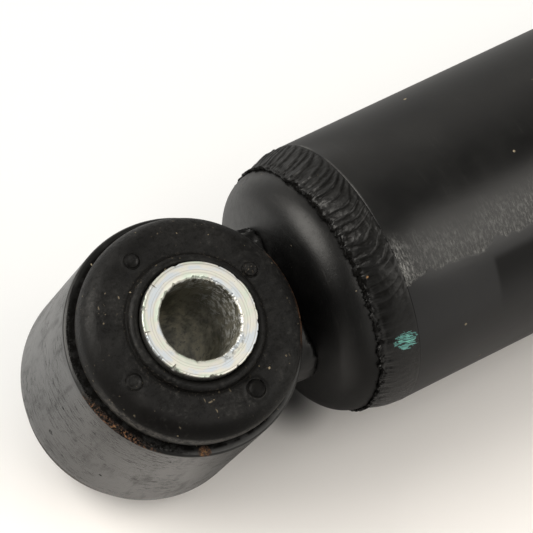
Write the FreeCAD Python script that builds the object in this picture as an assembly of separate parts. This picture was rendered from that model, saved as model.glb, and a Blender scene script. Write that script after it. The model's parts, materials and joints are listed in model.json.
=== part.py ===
import FreeCAD, Part
import math
import os

# Twin-tube telescopic shock absorber with a rubber-bushed eye at each end and a steel dust tube.
# Millimetres. +X runs along the shock from the lower eye to the upper eye, +Z along both eye bores,
# and the origin is the centre of the lower eye. The shock is drawn fully extended.

# Travel
stroke = 170.0
bump_room = 4.0             # foot valve bolt to rod tip, fully compressed
cap_room = 6.0              # rolled tube edge to upper cap, fully compressed
dust_tube_overlap = 25.0    # dust tube over reservoir tube, fully extended

# Clearances
seat_gap = 0.02             # round seats within one body
running_gap = 0.05          # round faces that slide or turn on each other
stop_gap = 0.3              # rebound bumper to rod guide, fully extended

# Eyes, the same at both ends
bore_dia = 16.0
bore_chamfer = 0.8
sleeve_dia = 23.0
sleeve_chamfer = 0.5
sleeve_stand_out = 12.0     # past each face of the ring
ring_dia = 48.0
ring_wall = 3.5
ring_width = 36.0
ring_chamfer = 0.4
eye_root_gap = 0.6          # ring to cap, filled by the eye weld
eye_weld_length = 22.0      # along the bore
eye_weld_width = 33.0       # across the bore
eye_weld_flare = 2.0        # wider on the cap than on the ring, each side

# Moulded bush
bush_overhang = 1.9         # shoulder past the ring's inner wall
bush_groove = 0.5           # ring face to shoulder
bush_undercut = 2.7         # height of the rounded underside of the shoulder
bush_shoulder_radius = 5.3
collar_width = 2.1          # raised lip round the sleeve
collar_wall_height = 0.7

# Reservoir
tube_dia = 56.0
tube_wall = 2.0
rolled_lip = 3.0            # flat part of the rolled upper edge
bead_width = 7.6
bead_bulge = 0.7
base_cap_wall = 3.0
base_cap_skirt = 20.0
cap_knuckle = 3.0           # inside radius where dish meets skirt
cap_crown = 49.0            # inside radius of the dish

# Working cylinder
cylinder_wall = 1.5
oil_gap = 1.5               # cylinder to base cap

# Foot valve
foot_skirt_height = 5.5
foot_skirt_wall = 3.0
foot_notches = 6
foot_notch_width = 7.0
foot_flange_length = 4.0
foot_spigot_length = 8.0
foot_plate_thickness = 10.0
foot_bolt_dia = 8.0
foot_bolt_head_dia = 13.0
foot_bolt_head_height = 4.0
foot_nut_flats = 13.0
foot_nut_height = 6.5
bolt_end = 1.0              # bolt and rod past their nuts

# Ports, discs, shims and springs, the same in both valves
check_ports = 8
shim_ports = 6
shim_port_dia = 3.0
shim_port_circle = 19.0
window_margin = 0.2         # disc window past the shim port, all round
boss_dia = 13.0
disc_thickness = 0.8
disc_margin = 1.0           # disc past the check ports
disc_edge = 1.8             # cylinder to disc
disc_lift = 1.2
spring_sheet = 0.5
spring_arms = 6
spring_slot = 4.0
stop_washer_dia = 18.0
stop_washer_thickness = 1.5
shim_thickness = 0.4
shim_count = 3
shim_margin = 1.2           # largest shim past the shim ports
port_land = 1.0             # largest shim to the check ports
shim_step = 1.5             # each shim smaller than the one above

# Rod and piston
rod_dia = 16.0
rod_spigot_dia = 10.0
rod_chamfer = 1.0
piston_play = 0.4
piston_length = 16.0
piston_band_width = 10.0
piston_band_wall = 1.6
clamp_washer_dia = 19.0
clamp_washer_thickness = 2.0
piston_nut_flats = 17.0
piston_nut_height = 8.0
rebound_stop_place = 10.0   # above the rod's shoulder
rebound_stop_dia = 26.0
rebound_stop_length = 5.0
rebound_bumper_dia = 28.0
rebound_bumper_length = 8.0
bumper_gap = 0.1

# Rod guide and seal
guide_spigot_length = 12.0
guide_flange_length = 12.0
guide_bush_wall = 2.0
seal_length = 9.0
seal_lip_wall = 3.2
seal_land = 1.6
seal_spring_wire = 1.2
seal_cavity = 3.0           # open ring beside the lip
closing_washer_thickness = 2.0
closing_washer_gap = 0.6

# Dust tube and upper cap
dust_tube_clearance = 1.0
dust_tube_wall = 1.0
upper_cap_wall = 2.5
upper_cap_skirt = 8.0
upper_bead_width = 3.0
upper_bead_bulge = 0.3
rod_weld_leg = 4.0

ORIGIN = FreeCAD.Vector(0, 0, 0)
X_AXIS = FreeCAD.Vector(1, 0, 0)
Y_AXIS = FreeCAD.Vector(0, 1, 0)
Z_AXIS = FreeCAD.Vector(0, 0, 1)

# Radii that several pieces share
sleeve_r = sleeve_dia / 2
ring_r = ring_dia / 2
ring_inner_r = ring_r - ring_wall
tube_r = tube_dia / 2
tube_inner_r = tube_r - tube_wall
cylinder_outer_r = tube_inner_r - base_cap_wall - oil_gap
cylinder_r = cylinder_outer_r - cylinder_wall
rod_r = rod_dia / 2
rod_spigot_r = rod_spigot_dia / 2
foot_bolt_r = foot_bolt_dia / 2
foot_hole_r = foot_bolt_r + seat_gap
piston_hole_r = rod_spigot_r + seat_gap
boss_r = boss_dia / 2
disc_r = cylinder_r - disc_edge
shim_r = (shim_port_circle + shim_port_dia) / 2 + shim_margin
check_port_inner_r = shim_r + port_land
check_port_outer_r = disc_r - disc_margin
check_port_dia = check_port_outer_r - check_port_inner_r
check_port_circle = check_port_outer_r + check_port_inner_r
piston_r = cylinder_r - piston_play
piston_band_r = cylinder_r - running_gap
guide_bore_r = rod_r + running_gap + guide_bush_wall
dust_inner_r = tube_r + dust_tube_clearance
dust_r = dust_inner_r + dust_tube_wall

# Heights that the two valves share, measured from the seat of the check disc
boss_height = disc_thickness + disc_lift + spring_sheet
shim_stack_height = shim_count * shim_thickness


def turned(start, *steps):
    """Solid of revolution about X. A step is a corner (x, r), or an arc's middle and end (x, r, x, r)."""
    at = FreeCAD.Vector(*start, 0)
    edges = []
    for step in steps + (start,):
        end = FreeCAD.Vector(*step[-2:], 0)
        if len(step) == 4:
            middle = FreeCAD.Vector(*step[:2], 0)
            edges.append(Part.Arc(at, middle, end).toShape())
        elif at.distanceToPoint(end) > 0:
            edges.append(Part.LineSegment(at, end).toShape())
        at = end
    return Part.Face(Part.Wire(edges)).revolve(ORIGIN, X_AXIS, 360)


def turned_ring(start_x, end_x, inner_r, outer_r, inner_chamfer=0.0, outer_chamfer=0.0):
    """Plain round ring along X with chamfered edges at both ends."""
    return turned(
        (start_x, inner_r + inner_chamfer),
        (start_x, outer_r - outer_chamfer),
        (start_x + outer_chamfer, outer_r),
        (end_x - outer_chamfer, outer_r),
        (end_x, outer_r - outer_chamfer),
        (end_x, inner_r + inner_chamfer),
        (end_x - inner_chamfer, inner_r),
        (start_x + inner_chamfer, inner_r),
    )


def round_bar(start_x, end_x, radius):
    """Plain cylinder along X."""
    return Part.makeCylinder(radius, end_x - start_x, FreeCAD.Vector(start_x, 0, 0), X_AXIS)


def patterned_cut(shape, tool, count):
    """Cut a tool out of a shape, repeated evenly about X."""
    for index in range(count):
        copy = tool.copy()
        copy.rotate(ORIGIN, X_AXIS, index * 360 / count)
        shape = shape.cut(copy)
    return shape


def hole_tool(start_x, end_x, circle, dia):
    """Drill along X on a circle."""
    return Part.makeCylinder(dia / 2, end_x - start_x, FreeCAD.Vector(start_x, 0, circle / 2), X_AXIS)


def hex_nut(start_x, height, flats, hole_r):
    """Hexagon nut along X."""
    corner_r = flats / math.sqrt(3)
    corners = [
        FreeCAD.Vector(
            start_x,
            corner_r * math.cos(index * math.pi / 3),
            corner_r * math.sin(index * math.pi / 3),
        )
        for index in range(7)
    ]
    prism = Part.Face(Part.makePolygon(corners)).extrude(FreeCAD.Vector(height, 0, 0))
    cone = turned(
        (start_x, 0),
        (start_x, flats / 2),
        (start_x + height / 4, corner_r),
        (start_x + 3 * height / 4, corner_r),
        (start_x + height, flats / 2),
        (start_x + height, 0),
    )
    return prism.common(cone).cut(round_bar(start_x, start_x + height, hole_r))


# Dished caps, drawn with the dish towards minus X and its edge on the plane x = 0

class Dish:
    """Crown and knuckle arcs of a dished cap with a given skirt radius and wall."""

    def __init__(self, skirt_r, wall):
        self.skirt_r = skirt_r
        self.wall = wall
        self.knuckle_circle = skirt_r - wall - cap_knuckle
        self.crown_x = math.sqrt((cap_crown - cap_knuckle) ** 2 - self.knuckle_circle ** 2)
        self.join_angle = math.asin(self.knuckle_circle / (cap_crown - cap_knuckle))
        self.depth = cap_crown + wall - self.crown_x

    def knuckle_point(self, angle, offset):
        """Point on the knuckle, at an angle from the axis and an offset from the inside face."""
        radius = cap_knuckle + offset
        return -radius * math.cos(angle), self.knuckle_circle + radius * math.sin(angle)

    def crown_point(self, angle, offset):
        """Point on the crown, at an angle from the axis and an offset from the inside face."""
        radius = cap_crown + offset
        return self.crown_x - radius * math.cos(angle), radius * math.sin(angle)

    def inside_x(self, radius):
        """Place of the inside face at a distance from the axis."""
        if radius > cap_crown * math.sin(self.join_angle):
            return -math.sqrt(cap_knuckle ** 2 - (radius - self.knuckle_circle) ** 2)
        return self.crown_x - math.sqrt(cap_crown ** 2 - radius ** 2)

    def arcs(self, offset):
        """Knuckle and crown arcs from the skirt to the axis."""
        middle_angle = (self.join_angle + math.pi / 2) / 2
        join = self.knuckle_point(self.join_angle, offset)
        apex = self.crown_point(0, offset)
        knuckle = (*self.knuckle_point(middle_angle, offset), *join)
        crown = (*self.crown_point(self.join_angle / 2, offset), *apex)
        return knuckle, crown

    def shell(self, skirt):
        """The pressed cap."""
        inner_r = self.skirt_r - self.wall
        knuckle, crown = self.arcs(self.wall)
        inner_knuckle, inner_crown = self.arcs(0)
        join = inner_knuckle[2:]
        return turned(
            (skirt, inner_r),
            (skirt, self.skirt_r),
            (0, self.skirt_r),
            knuckle,
            crown,
            inner_crown[2:],
            (*inner_crown[:2], *join),
            (*inner_knuckle[:2], 0, inner_r),
        )

    def envelope(self):
        """Everything inside the outer face of the dish."""
        knuckle, crown = self.arcs(self.wall)
        return turned((0, 0), (0, self.skirt_r), knuckle, crown)


base_dish = Dish(tube_inner_r - seat_gap, base_cap_wall)
upper_dish = Dish(dust_inner_r - seat_gap, upper_cap_wall)

# Places along X, from the lower eye up
base_rim_x = ring_r + eye_root_gap + base_dish.depth
tube_start_x = base_rim_x + bead_width
foot_seat_x = base_rim_x + base_dish.inside_x(cylinder_outer_r) + seat_gap
foot_flange_x = foot_seat_x + foot_skirt_height
cylinder_start_x = foot_flange_x + foot_flange_length
foot_disc_seat_x = cylinder_start_x + foot_spigot_length
foot_plate_x = foot_disc_seat_x - foot_plate_thickness
foot_washer_x = foot_disc_seat_x + boss_height + spring_sheet
foot_nut_x = foot_washer_x + stop_washer_thickness
foot_bolt_end_x = foot_nut_x + foot_nut_height + bolt_end
rod_tip_x = foot_bolt_end_x + bump_room + stroke
piston_nut_x = rod_tip_x + bolt_end
clamp_washer_x = piston_nut_x + piston_nut_height
piston_x = clamp_washer_x + clamp_washer_thickness + shim_stack_height
piston_disc_seat_x = piston_x + piston_length
piston_stop_washer_x = piston_disc_seat_x + boss_height + spring_sheet
rod_shoulder_x = piston_stop_washer_x + stop_washer_thickness
rebound_stop_x = rod_shoulder_x + rebound_stop_place
bumper_x = rebound_stop_x + rebound_stop_length
guide_x = bumper_x + rebound_bumper_length + stop_gap
cylinder_end_x = guide_x + guide_spigot_length
seal_x = cylinder_end_x + guide_flange_length
seal_spring_x = seal_x + seal_length / 2
closing_washer_x = seal_x + seal_length
closing_washer_end_x = closing_washer_x + closing_washer_thickness
tube_end_x = closing_washer_end_x + tube_wall
dust_tube_x = tube_end_x - dust_tube_overlap
upper_skirt_x = tube_end_x + cap_room + stroke
upper_rim_x = upper_skirt_x + upper_cap_skirt
dust_tube_end_x = upper_rim_x - upper_bead_width
upper_eye_x = upper_rim_x + upper_dish.depth + eye_root_gap + ring_r


# Eyes

def at_eye(shape, eye_x):
    """Stand a piece that was turned about X upright, with its axis along Z at an eye."""
    shape.rotate(ORIGIN, Y_AXIS, -90)
    shape.translate(FreeCAD.Vector(eye_x, 0, 0))
    return shape


def eye_ring():
    """Steel ring of an eye."""
    half = ring_width / 2
    return turned_ring(-half, half, ring_inner_r, ring_r, outer_chamfer=ring_chamfer)


def eye_sleeve():
    """Plated sleeve that takes the mounting bolt."""
    half = ring_width / 2 + sleeve_stand_out
    return turned_ring(-half, half, bore_dia / 2, sleeve_r, bore_chamfer, sleeve_chamfer)


def half_bush():
    """Upper half of the rubber bush: plug in the ring, rounded shoulder and lip round the sleeve."""
    bore_r = sleeve_r + running_gap
    plug_r = ring_inner_r - seat_gap
    shoulder_r = ring_inner_r + bush_overhang
    groove_x = ring_width / 2 + bush_groove
    widest_x = groove_x + bush_undercut
    face_x = widest_x + bush_shoulder_radius
    face_r = shoulder_r - bush_shoulder_radius
    collar_r = bore_r + collar_width
    collar_top_x = face_x + collar_wall_height + collar_width / 2
    diagonal = bush_shoulder_radius * math.sqrt(0.5)
    undercut_r = (plug_r + shoulder_r) / 2 + bush_overhang / 4
    return turned(
        (0, bore_r),
        (0, plug_r),
        (groove_x, plug_r),
        (groove_x + bush_undercut / 3, undercut_r, widest_x, shoulder_r),
        (widest_x + diagonal, face_r + diagonal, face_x, face_r),
        (face_x, collar_r),
        (face_x + collar_wall_height, collar_r),
        (collar_top_x, bore_r + collar_width / 2, face_x + collar_wall_height, bore_r),
    )


def eye_bush():
    """Rubber bush, alike on both faces of the ring."""
    half = half_bush()
    return half.fuse(half.mirror(ORIGIN, X_AXIS)).removeSplitter()


def ellipse_wire(x, half_width, half_length):
    """Ellipse across the shock's axis, with its width along Y and its length along Z."""
    across = FreeCAD.Vector(x, half_width, 0)
    along = FreeCAD.Vector(x, 0, half_length)
    major, minor = (along, across) if half_length > half_width else (across, along)
    return Part.Wire(Part.Ellipse(major, minor, FreeCAD.Vector(x, 0, 0)).toShape())


def eye_weld(dish):
    """Flared fillet weld that fills the gap between a ring at the origin and a dish to its right."""
    dish_rim_x = ring_r + eye_root_gap + dish.depth
    half_width = eye_weld_width / 2
    half_length = eye_weld_length / 2
    root = ellipse_wire(ring_r / 2, half_width - eye_weld_flare, half_length - eye_weld_flare)
    toe = ellipse_wire(dish_rim_x, half_width + eye_weld_flare, half_length + eye_weld_flare)
    plug = Part.makeLoft([root, toe], True, True)
    cap = dish.envelope()
    cap.translate(FreeCAD.Vector(dish_rim_x, 0, 0))
    ring = Part.makeCylinder(ring_r, ring_width, FreeCAD.Vector(0, 0, -ring_width / 2), Z_AXIS)
    return plug.cut(ring).cut(cap)


def turned_about(shape, eye_x):
    """Face a lower-end piece the other way, for the upper end."""
    shape.rotate(ORIGIN, Z_AXIS, 180)
    shape.translate(FreeCAD.Vector(eye_x, 0, 0))
    return shape


# Tubes and caps

def weld_bead(start_x, end_x, cap_r, outer_r, bulge):
    """Rounded bead from a cap's edge to the end of a tube."""
    slope = math.atan2(outer_r - cap_r, end_x - start_x)
    middle_x = (start_x + end_x) / 2 - bulge * math.sin(slope)
    middle_r = (cap_r + outer_r) / 2 + bulge * math.cos(slope)
    return turned((end_x, cap_r), (start_x, cap_r), (middle_x, middle_r, end_x, outer_r))


def base_cap():
    """Dished cap that closes the lower end."""
    cap = base_dish.shell(base_cap_skirt)
    cap.translate(FreeCAD.Vector(base_rim_x, 0, 0))
    return cap


def base_weld():
    """Bead between the base cap and the reservoir tube."""
    return weld_bead(base_rim_x, tube_start_x, base_dish.skirt_r, tube_r, bead_bulge)


def reservoir_tube():
    """Outer tube, its upper edge rolled in over the closing washer."""
    inner_roll = closing_washer_thickness
    outer_roll = inner_roll + tube_wall
    roll_circle = tube_inner_r - inner_roll
    lip_r = roll_circle - rolled_lip
    diagonal = math.sqrt(0.5)
    return turned(
        (tube_start_x, tube_inner_r),
        (tube_start_x, tube_r),
        (closing_washer_x, tube_r),
        (
            closing_washer_x + outer_roll * diagonal,
            roll_circle + outer_roll * diagonal,
            tube_end_x,
            roll_circle,
        ),
        (tube_end_x, lip_r),
        (closing_washer_end_x, lip_r),
        (closing_washer_end_x, roll_circle),
        (
            closing_washer_x + inner_roll * diagonal,
            roll_circle + inner_roll * diagonal,
            closing_washer_x,
            tube_inner_r,
        ),
    )


def pressure_tube():
    """Working cylinder between foot valve and rod guide."""
    return turned_ring(cylinder_start_x, cylinder_end_x, cylinder_r, cylinder_outer_r)


def upper_cap():
    """Dished cap of the dust tube, carried by the rod."""
    return turned_about(upper_dish.shell(upper_cap_skirt), upper_rim_x)


def dust_tube():
    """Plain tube that shields the rod."""
    return turned_ring(dust_tube_x, dust_tube_end_x, dust_inner_r, dust_r)


def dust_tube_weld():
    """Bead between the upper cap and the dust tube."""
    bead = weld_bead(0, upper_bead_width, upper_dish.skirt_r, dust_r, upper_bead_bulge)
    return turned_about(bead, upper_rim_x)


def rod_weld():
    """Fillet weld of the rod to the inside of the upper cap."""
    inner_r = rod_r + seat_gap
    outer_r = inner_r + rod_weld_leg
    inner_x = upper_rim_x - upper_dish.inside_x(inner_r) - seat_gap
    outer_x = upper_rim_x - upper_dish.inside_x(outer_r) - seat_gap
    return turned((outer_x - rod_weld_leg, inner_r), (outer_x, outer_r), (inner_x, inner_r))


# Valves

def ported(body, start_x, end_x):
    """Drill the check ports and the shim ports through a valve body."""
    check = hole_tool(start_x, end_x, check_port_circle, check_port_dia)
    shim = hole_tool(start_x, end_x, shim_port_circle, shim_port_dia)
    return patterned_cut(patterned_cut(body, check, check_ports), shim, shim_ports)


def check_disc(seat_x):
    """Thin disc over the check ports, guided by the boss, with windows over the shim ports."""
    end_x = seat_x + disc_thickness
    disc = turned_ring(seat_x, end_x, boss_r + running_gap, disc_r)
    window = hole_tool(seat_x, end_x, shim_port_circle, shim_port_dia + 2 * window_margin)
    return patterned_cut(disc, window, shim_ports)


def star_spring(seat_x, hole_r):
    """Slotted cone: its ring sits on the boss and its arms press the disc."""
    ring_x = seat_x + boss_height
    rim_x = seat_x + disc_thickness
    flat_r = boss_r + spring_sheet
    rim_r = check_port_circle / 2
    cone = turned(
        (ring_x, hole_r),
        (ring_x, flat_r),
        (rim_x, rim_r),
        (rim_x + spring_sheet, rim_r),
        (ring_x + spring_sheet, flat_r),
        (ring_x + spring_sheet, hole_r),
    )
    slot = Part.makeBox(
        ring_x + spring_sheet - rim_x,
        spring_slot,
        rim_r,
        FreeCAD.Vector(rim_x, -spring_slot / 2, flat_r + spring_sheet),
    )
    return patterned_cut(cone, slot, spring_arms)


def stop_washer(start_x, hole_r):
    """Washer that holds the star spring."""
    return turned_ring(start_x, start_x + stop_washer_thickness, hole_r, stop_washer_dia / 2)


def shim_stack(seat_x, hole_r):
    """Stepped stack of shims under a valve body, the largest on the seat."""
    corners = []
    for index in range(shim_count):
        radius = shim_r - index * shim_step
        top_x = seat_x - index * shim_thickness
        corners += [(top_x, radius), (top_x - shim_thickness, radius)]
    end_x = seat_x - shim_stack_height
    return turned((seat_x, hole_r), *corners, (end_x, hole_r))


def foot_valve_body():
    """Ported plate on a notched skirt that stands in the base cap and carries the cylinder."""
    skirt_inner_r = cylinder_outer_r - foot_skirt_wall
    spigot_r = cylinder_r - seat_gap
    boss_end_x = foot_disc_seat_x + boss_height
    body = turned(
        (foot_seat_x, skirt_inner_r),
        (foot_seat_x, cylinder_outer_r),
        (cylinder_start_x, cylinder_outer_r),
        (cylinder_start_x, spigot_r),
        (foot_disc_seat_x, spigot_r),
        (foot_disc_seat_x, boss_r),
        (boss_end_x, boss_r),
        (boss_end_x, foot_hole_r),
        (foot_plate_x, foot_hole_r),
        (foot_plate_x, skirt_inner_r),
    )
    notch = Part.makeBox(
        foot_skirt_height,
        foot_notch_width,
        cylinder_outer_r,
        FreeCAD.Vector(foot_seat_x, -foot_notch_width / 2, skirt_inner_r / 2),
    )
    body = patterned_cut(body, notch, foot_notches)
    return ported(body, foot_plate_x, foot_disc_seat_x)


def foot_valve_bolt():
    """Bolt through the foot valve, its head under the shims."""
    head_end_x = foot_plate_x - shim_stack_height
    head_x = head_end_x - foot_bolt_head_height
    return turned(
        (head_x, 0),
        (head_x, foot_bolt_head_dia / 2),
        (head_end_x, foot_bolt_head_dia / 2),
        (head_end_x, foot_bolt_r),
        (foot_bolt_end_x, foot_bolt_r),
        (foot_bolt_end_x, 0),
    )


def piston():
    """Ported piston with a groove for its band."""
    groove_r = piston_band_r - piston_band_wall - seat_gap
    groove_x = piston_x + (piston_length - piston_band_width) / 2
    groove_end_x = groove_x + piston_band_width
    boss_end_x = piston_disc_seat_x + boss_height
    body = turned(
        (piston_x, piston_hole_r),
        (piston_x, piston_r),
        (groove_x, piston_r),
        (groove_x, groove_r),
        (groove_end_x, groove_r),
        (groove_end_x, piston_r),
        (piston_disc_seat_x, piston_r),
        (piston_disc_seat_x, boss_r),
        (boss_end_x, boss_r),
        (boss_end_x, piston_hole_r),
    )
    return ported(body, piston_x, piston_disc_seat_x)


def piston_band():
    """Sliding band in the piston's groove."""
    start_x = piston_x + (piston_length - piston_band_width) / 2
    return turned_ring(
        start_x, start_x + piston_band_width, piston_band_r - piston_band_wall, piston_band_r
    )


# Rod and its stops

def piston_rod():
    """Rod with a stepped end for the piston and its upper end on the cap."""
    end_x = upper_rim_x - upper_dish.inside_x(rod_r) - seat_gap
    return turned(
        (rod_tip_x, 0),
        (rod_tip_x, rod_spigot_r - rod_chamfer),
        (rod_tip_x + rod_chamfer, rod_spigot_r),
        (rod_shoulder_x, rod_spigot_r),
        (rod_shoulder_x, rod_r),
        (end_x, rod_r),
        (end_x, 0),
    )


def rebound_stop():
    """Collar pressed on the rod."""
    end_x = rebound_stop_x + rebound_stop_length
    return turned_ring(
        rebound_stop_x, end_x, rod_r + seat_gap, rebound_stop_dia / 2, outer_chamfer=rod_chamfer
    )


def rebound_bumper():
    """Rounded ring that meets the rod guide at full extension."""
    inner_r = rod_r + bumper_gap
    outer_r = rebound_bumper_dia / 2
    end_x = bumper_x + rebound_bumper_length
    edge_r = outer_r - rebound_bumper_length / 4
    return turned(
        (bumper_x, inner_r),
        (bumper_x, edge_r),
        ((bumper_x + end_x) / 2, outer_r, end_x, edge_r),
        (end_x, inner_r),
    )


# Rod guide and seal

def rod_guide():
    """Stepped guide that centres the cylinder in the reservoir tube."""
    hole_r = guide_bore_r + seat_gap
    spigot_r = cylinder_r - seat_gap
    flange_r = tube_inner_r - seat_gap
    return turned(
        (guide_x, hole_r),
        (guide_x, spigot_r),
        (cylinder_end_x, spigot_r),
        (cylinder_end_x, flange_r),
        (seal_x, flange_r),
        (seal_x, hole_r),
    )


def guide_bush():
    """Plain bearing that the rod runs in."""
    return turned_ring(guide_x, seal_x, rod_r + running_gap, guide_bore_r)


def rod_seal():
    """Lip seal: a thick rim, a web on the guide's side and a lip that runs on the rod."""
    lip_r = rod_r + running_gap
    lip_outer_r = lip_r + seal_lip_wall
    rim_inner_r = lip_outer_r + seal_spring_wire + seal_cavity
    rim_r = tube_inner_r - seat_gap
    web_x = seal_x + seal_length / 3
    land_x = seal_spring_x - seal_land / 2
    end_x = seal_x + seal_length
    return turned(
        (seal_x, lip_outer_r),
        (seal_x, rim_r),
        (end_x, rim_r),
        (end_x, rim_inner_r),
        (web_x, rim_inner_r),
        (web_x, lip_outer_r),
        (end_x - seal_land, lip_outer_r),
        (land_x + seal_land, lip_r),
        (land_x, lip_r),
    )


def seal_spring():
    """Garter spring round the lip."""
    wire_r = seal_spring_wire / 2 - seat_gap
    circle_r = rod_r + running_gap + seal_lip_wall + seal_spring_wire / 2
    return Part.makeTorus(circle_r, wire_r, FreeCAD.Vector(seal_spring_x, 0, 0), X_AXIS)


def closing_washer():
    """Washer that the rolled tube edge holds on the seal."""
    outer_r = tube_inner_r - closing_washer_thickness
    return turned_ring(closing_washer_x, closing_washer_end_x, rod_r + closing_washer_gap, outer_r)


foot_nut = hex_nut(foot_nut_x, foot_nut_height, foot_nut_flats, foot_hole_r)
piston_nut = hex_nut(piston_nut_x, piston_nut_height, piston_nut_flats, piston_hole_r)
clamp_washer_end_x = clamp_washer_x + clamp_washer_thickness
clamp_washer = turned_ring(clamp_washer_x, clamp_washer_end_x, piston_hole_r, clamp_washer_dia / 2)

pieces = {
    "lower_eye_ring": at_eye(eye_ring(), 0),
    "lower_bush": at_eye(eye_bush(), 0),
    "lower_sleeve": at_eye(eye_sleeve(), 0),
    "lower_eye_weld": eye_weld(base_dish),
    "base_cap": base_cap(),
    "base_weld": base_weld(),
    "reservoir_tube": reservoir_tube(),
    "pressure_tube": pressure_tube(),
    "foot_valve_body": foot_valve_body(),
    "foot_valve_disc": check_disc(foot_disc_seat_x),
    "foot_valve_spring": star_spring(foot_disc_seat_x, foot_hole_r),
    "foot_valve_washer": stop_washer(foot_washer_x, foot_hole_r),
    "foot_valve_shims": shim_stack(foot_plate_x, foot_hole_r),
    "foot_valve_bolt": foot_valve_bolt(),
    "foot_valve_nut": foot_nut,
    "piston_rod": piston_rod(),
    "piston": piston(),
    "piston_band": piston_band(),
    "piston_disc": check_disc(piston_disc_seat_x),
    "piston_spring": star_spring(piston_disc_seat_x, piston_hole_r),
    "piston_washer": stop_washer(piston_stop_washer_x, piston_hole_r),
    "piston_shims": shim_stack(piston_x, piston_hole_r),
    "piston_clamp_washer": clamp_washer,
    "piston_nut": piston_nut,
    "rebound_stop": rebound_stop(),
    "rebound_bumper": rebound_bumper(),
    "rod_guide": rod_guide(),
    "guide_bush": guide_bush(),
    "rod_seal": rod_seal(),
    "seal_spring": seal_spring(),
    "closing_washer": closing_washer(),
    "dust_tube": dust_tube(),
    "dust_tube_weld": dust_tube_weld(),
    "upper_cap": upper_cap(),
    "rod_weld": rod_weld(),
    "upper_eye_ring": at_eye(eye_ring(), upper_eye_x),
    "upper_bush": at_eye(eye_bush(), upper_eye_x),
    "upper_sleeve": at_eye(eye_sleeve(), upper_eye_x),
    "upper_eye_weld": turned_about(eye_weld(upper_dish), upper_eye_x),
}

os.makedirs("parts", exist_ok=True)
for name, shape in pieces.items():
    shape.exportStep(f"parts/{name}.step")
    print(f"{name}: {len(shape.Solids)} solid, {shape.Volume:.0f} mm3, valid {shape.isValid()}")
print(f"eye to eye {upper_eye_x:.1f} mm extended, {upper_eye_x - stroke:.1f} mm compressed")
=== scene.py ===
"""Looks of a twin-tube shock absorber with a rubber-bushed eye at each end.

Sizes are in millimetres and become metres where a mesh or a material is made. +X runs along the
shock from the lower eye to the upper eye, and +Z along both eye bores.
"""

import json
import logging
import math
from dataclasses import dataclass, replace
from enum import Enum
from typing import Callable, Dict, List, Optional, Sequence, Tuple, Union

import bpy
from mathutils import Matrix, Quaternion, Vector, noise

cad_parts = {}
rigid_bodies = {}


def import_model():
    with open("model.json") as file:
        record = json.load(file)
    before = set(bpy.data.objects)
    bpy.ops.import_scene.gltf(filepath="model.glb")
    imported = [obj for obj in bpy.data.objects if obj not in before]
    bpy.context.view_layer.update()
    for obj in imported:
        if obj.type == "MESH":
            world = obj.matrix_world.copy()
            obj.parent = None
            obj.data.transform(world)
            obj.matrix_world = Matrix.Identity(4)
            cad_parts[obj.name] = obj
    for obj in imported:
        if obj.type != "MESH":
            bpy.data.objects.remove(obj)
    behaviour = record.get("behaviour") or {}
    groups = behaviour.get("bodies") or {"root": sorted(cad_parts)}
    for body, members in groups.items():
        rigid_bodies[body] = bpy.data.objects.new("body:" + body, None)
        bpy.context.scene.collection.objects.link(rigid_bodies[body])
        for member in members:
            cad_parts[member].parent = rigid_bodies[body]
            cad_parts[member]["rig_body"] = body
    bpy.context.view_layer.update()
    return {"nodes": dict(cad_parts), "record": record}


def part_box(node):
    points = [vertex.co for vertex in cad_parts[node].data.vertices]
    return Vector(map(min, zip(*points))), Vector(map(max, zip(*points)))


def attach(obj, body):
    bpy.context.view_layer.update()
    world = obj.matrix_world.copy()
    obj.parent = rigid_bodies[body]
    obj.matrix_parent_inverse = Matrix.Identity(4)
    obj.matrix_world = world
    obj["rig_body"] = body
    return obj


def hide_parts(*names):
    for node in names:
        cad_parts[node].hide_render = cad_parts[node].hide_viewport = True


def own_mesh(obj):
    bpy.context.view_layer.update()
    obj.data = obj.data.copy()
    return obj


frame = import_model()

MM = 0.001
SECTORS = 16
RING_STEPS, TUBE_STEPS, BUSH_STEPS, SLEEVE_STEPS, BEAD_STEPS = 192, 256, 400, 480, 912
CROWN_PARTS, KNUCKLE_PARTS, EDGE_PARTS = 22, 16, 3
CAD_KNUCKLE, CAD_CROWN = 3.0, 49.0
SEAT_GAP = 0.02
TUBE_SPACING = 12.0
MERGE, LOOSE = MM * 0.001, MM * 0.002
UPPER_EYE_X = 549.643
log = logging.getLogger("shock_absorber")

Colour = Tuple[float, float, float, float]
Triple = Tuple[float, float, float]
Point = Tuple[float, float]
Piece = bpy.types.Object
Number = Union[float, "Signal"]
Tint = Union[Colour, "Signal"]
Sockets = Dict[Union[int, str], object]
Settings = Dict[str, object]


def ease(low: float, high: float, value: float) -> float:
    """Smooth step.

    Args:
        low: Value that gives 0.
        high: Value that gives 1, which may be the smaller of the two.
        value: Value to place between them.

    Returns:
        A number from 0 to 1.
    """
    part = min(1.0, max(0.0, (value - low) / (high - low)))
    return part * part * (3 - 2 * part)


def polar(radius: float, degrees: float) -> Point:
    """Point on a circle round the origin."""
    turn = math.radians(degrees)
    return radius * math.cos(turn), radius * math.sin(turn)


def wave(spot: Vector, scale: float, offset: Triple = (0, 0, 0)) -> float:
    """Smooth noise from -1 to 1, finer with a larger scale."""
    return noise.noise(spot * scale + Vector(offset))


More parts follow.
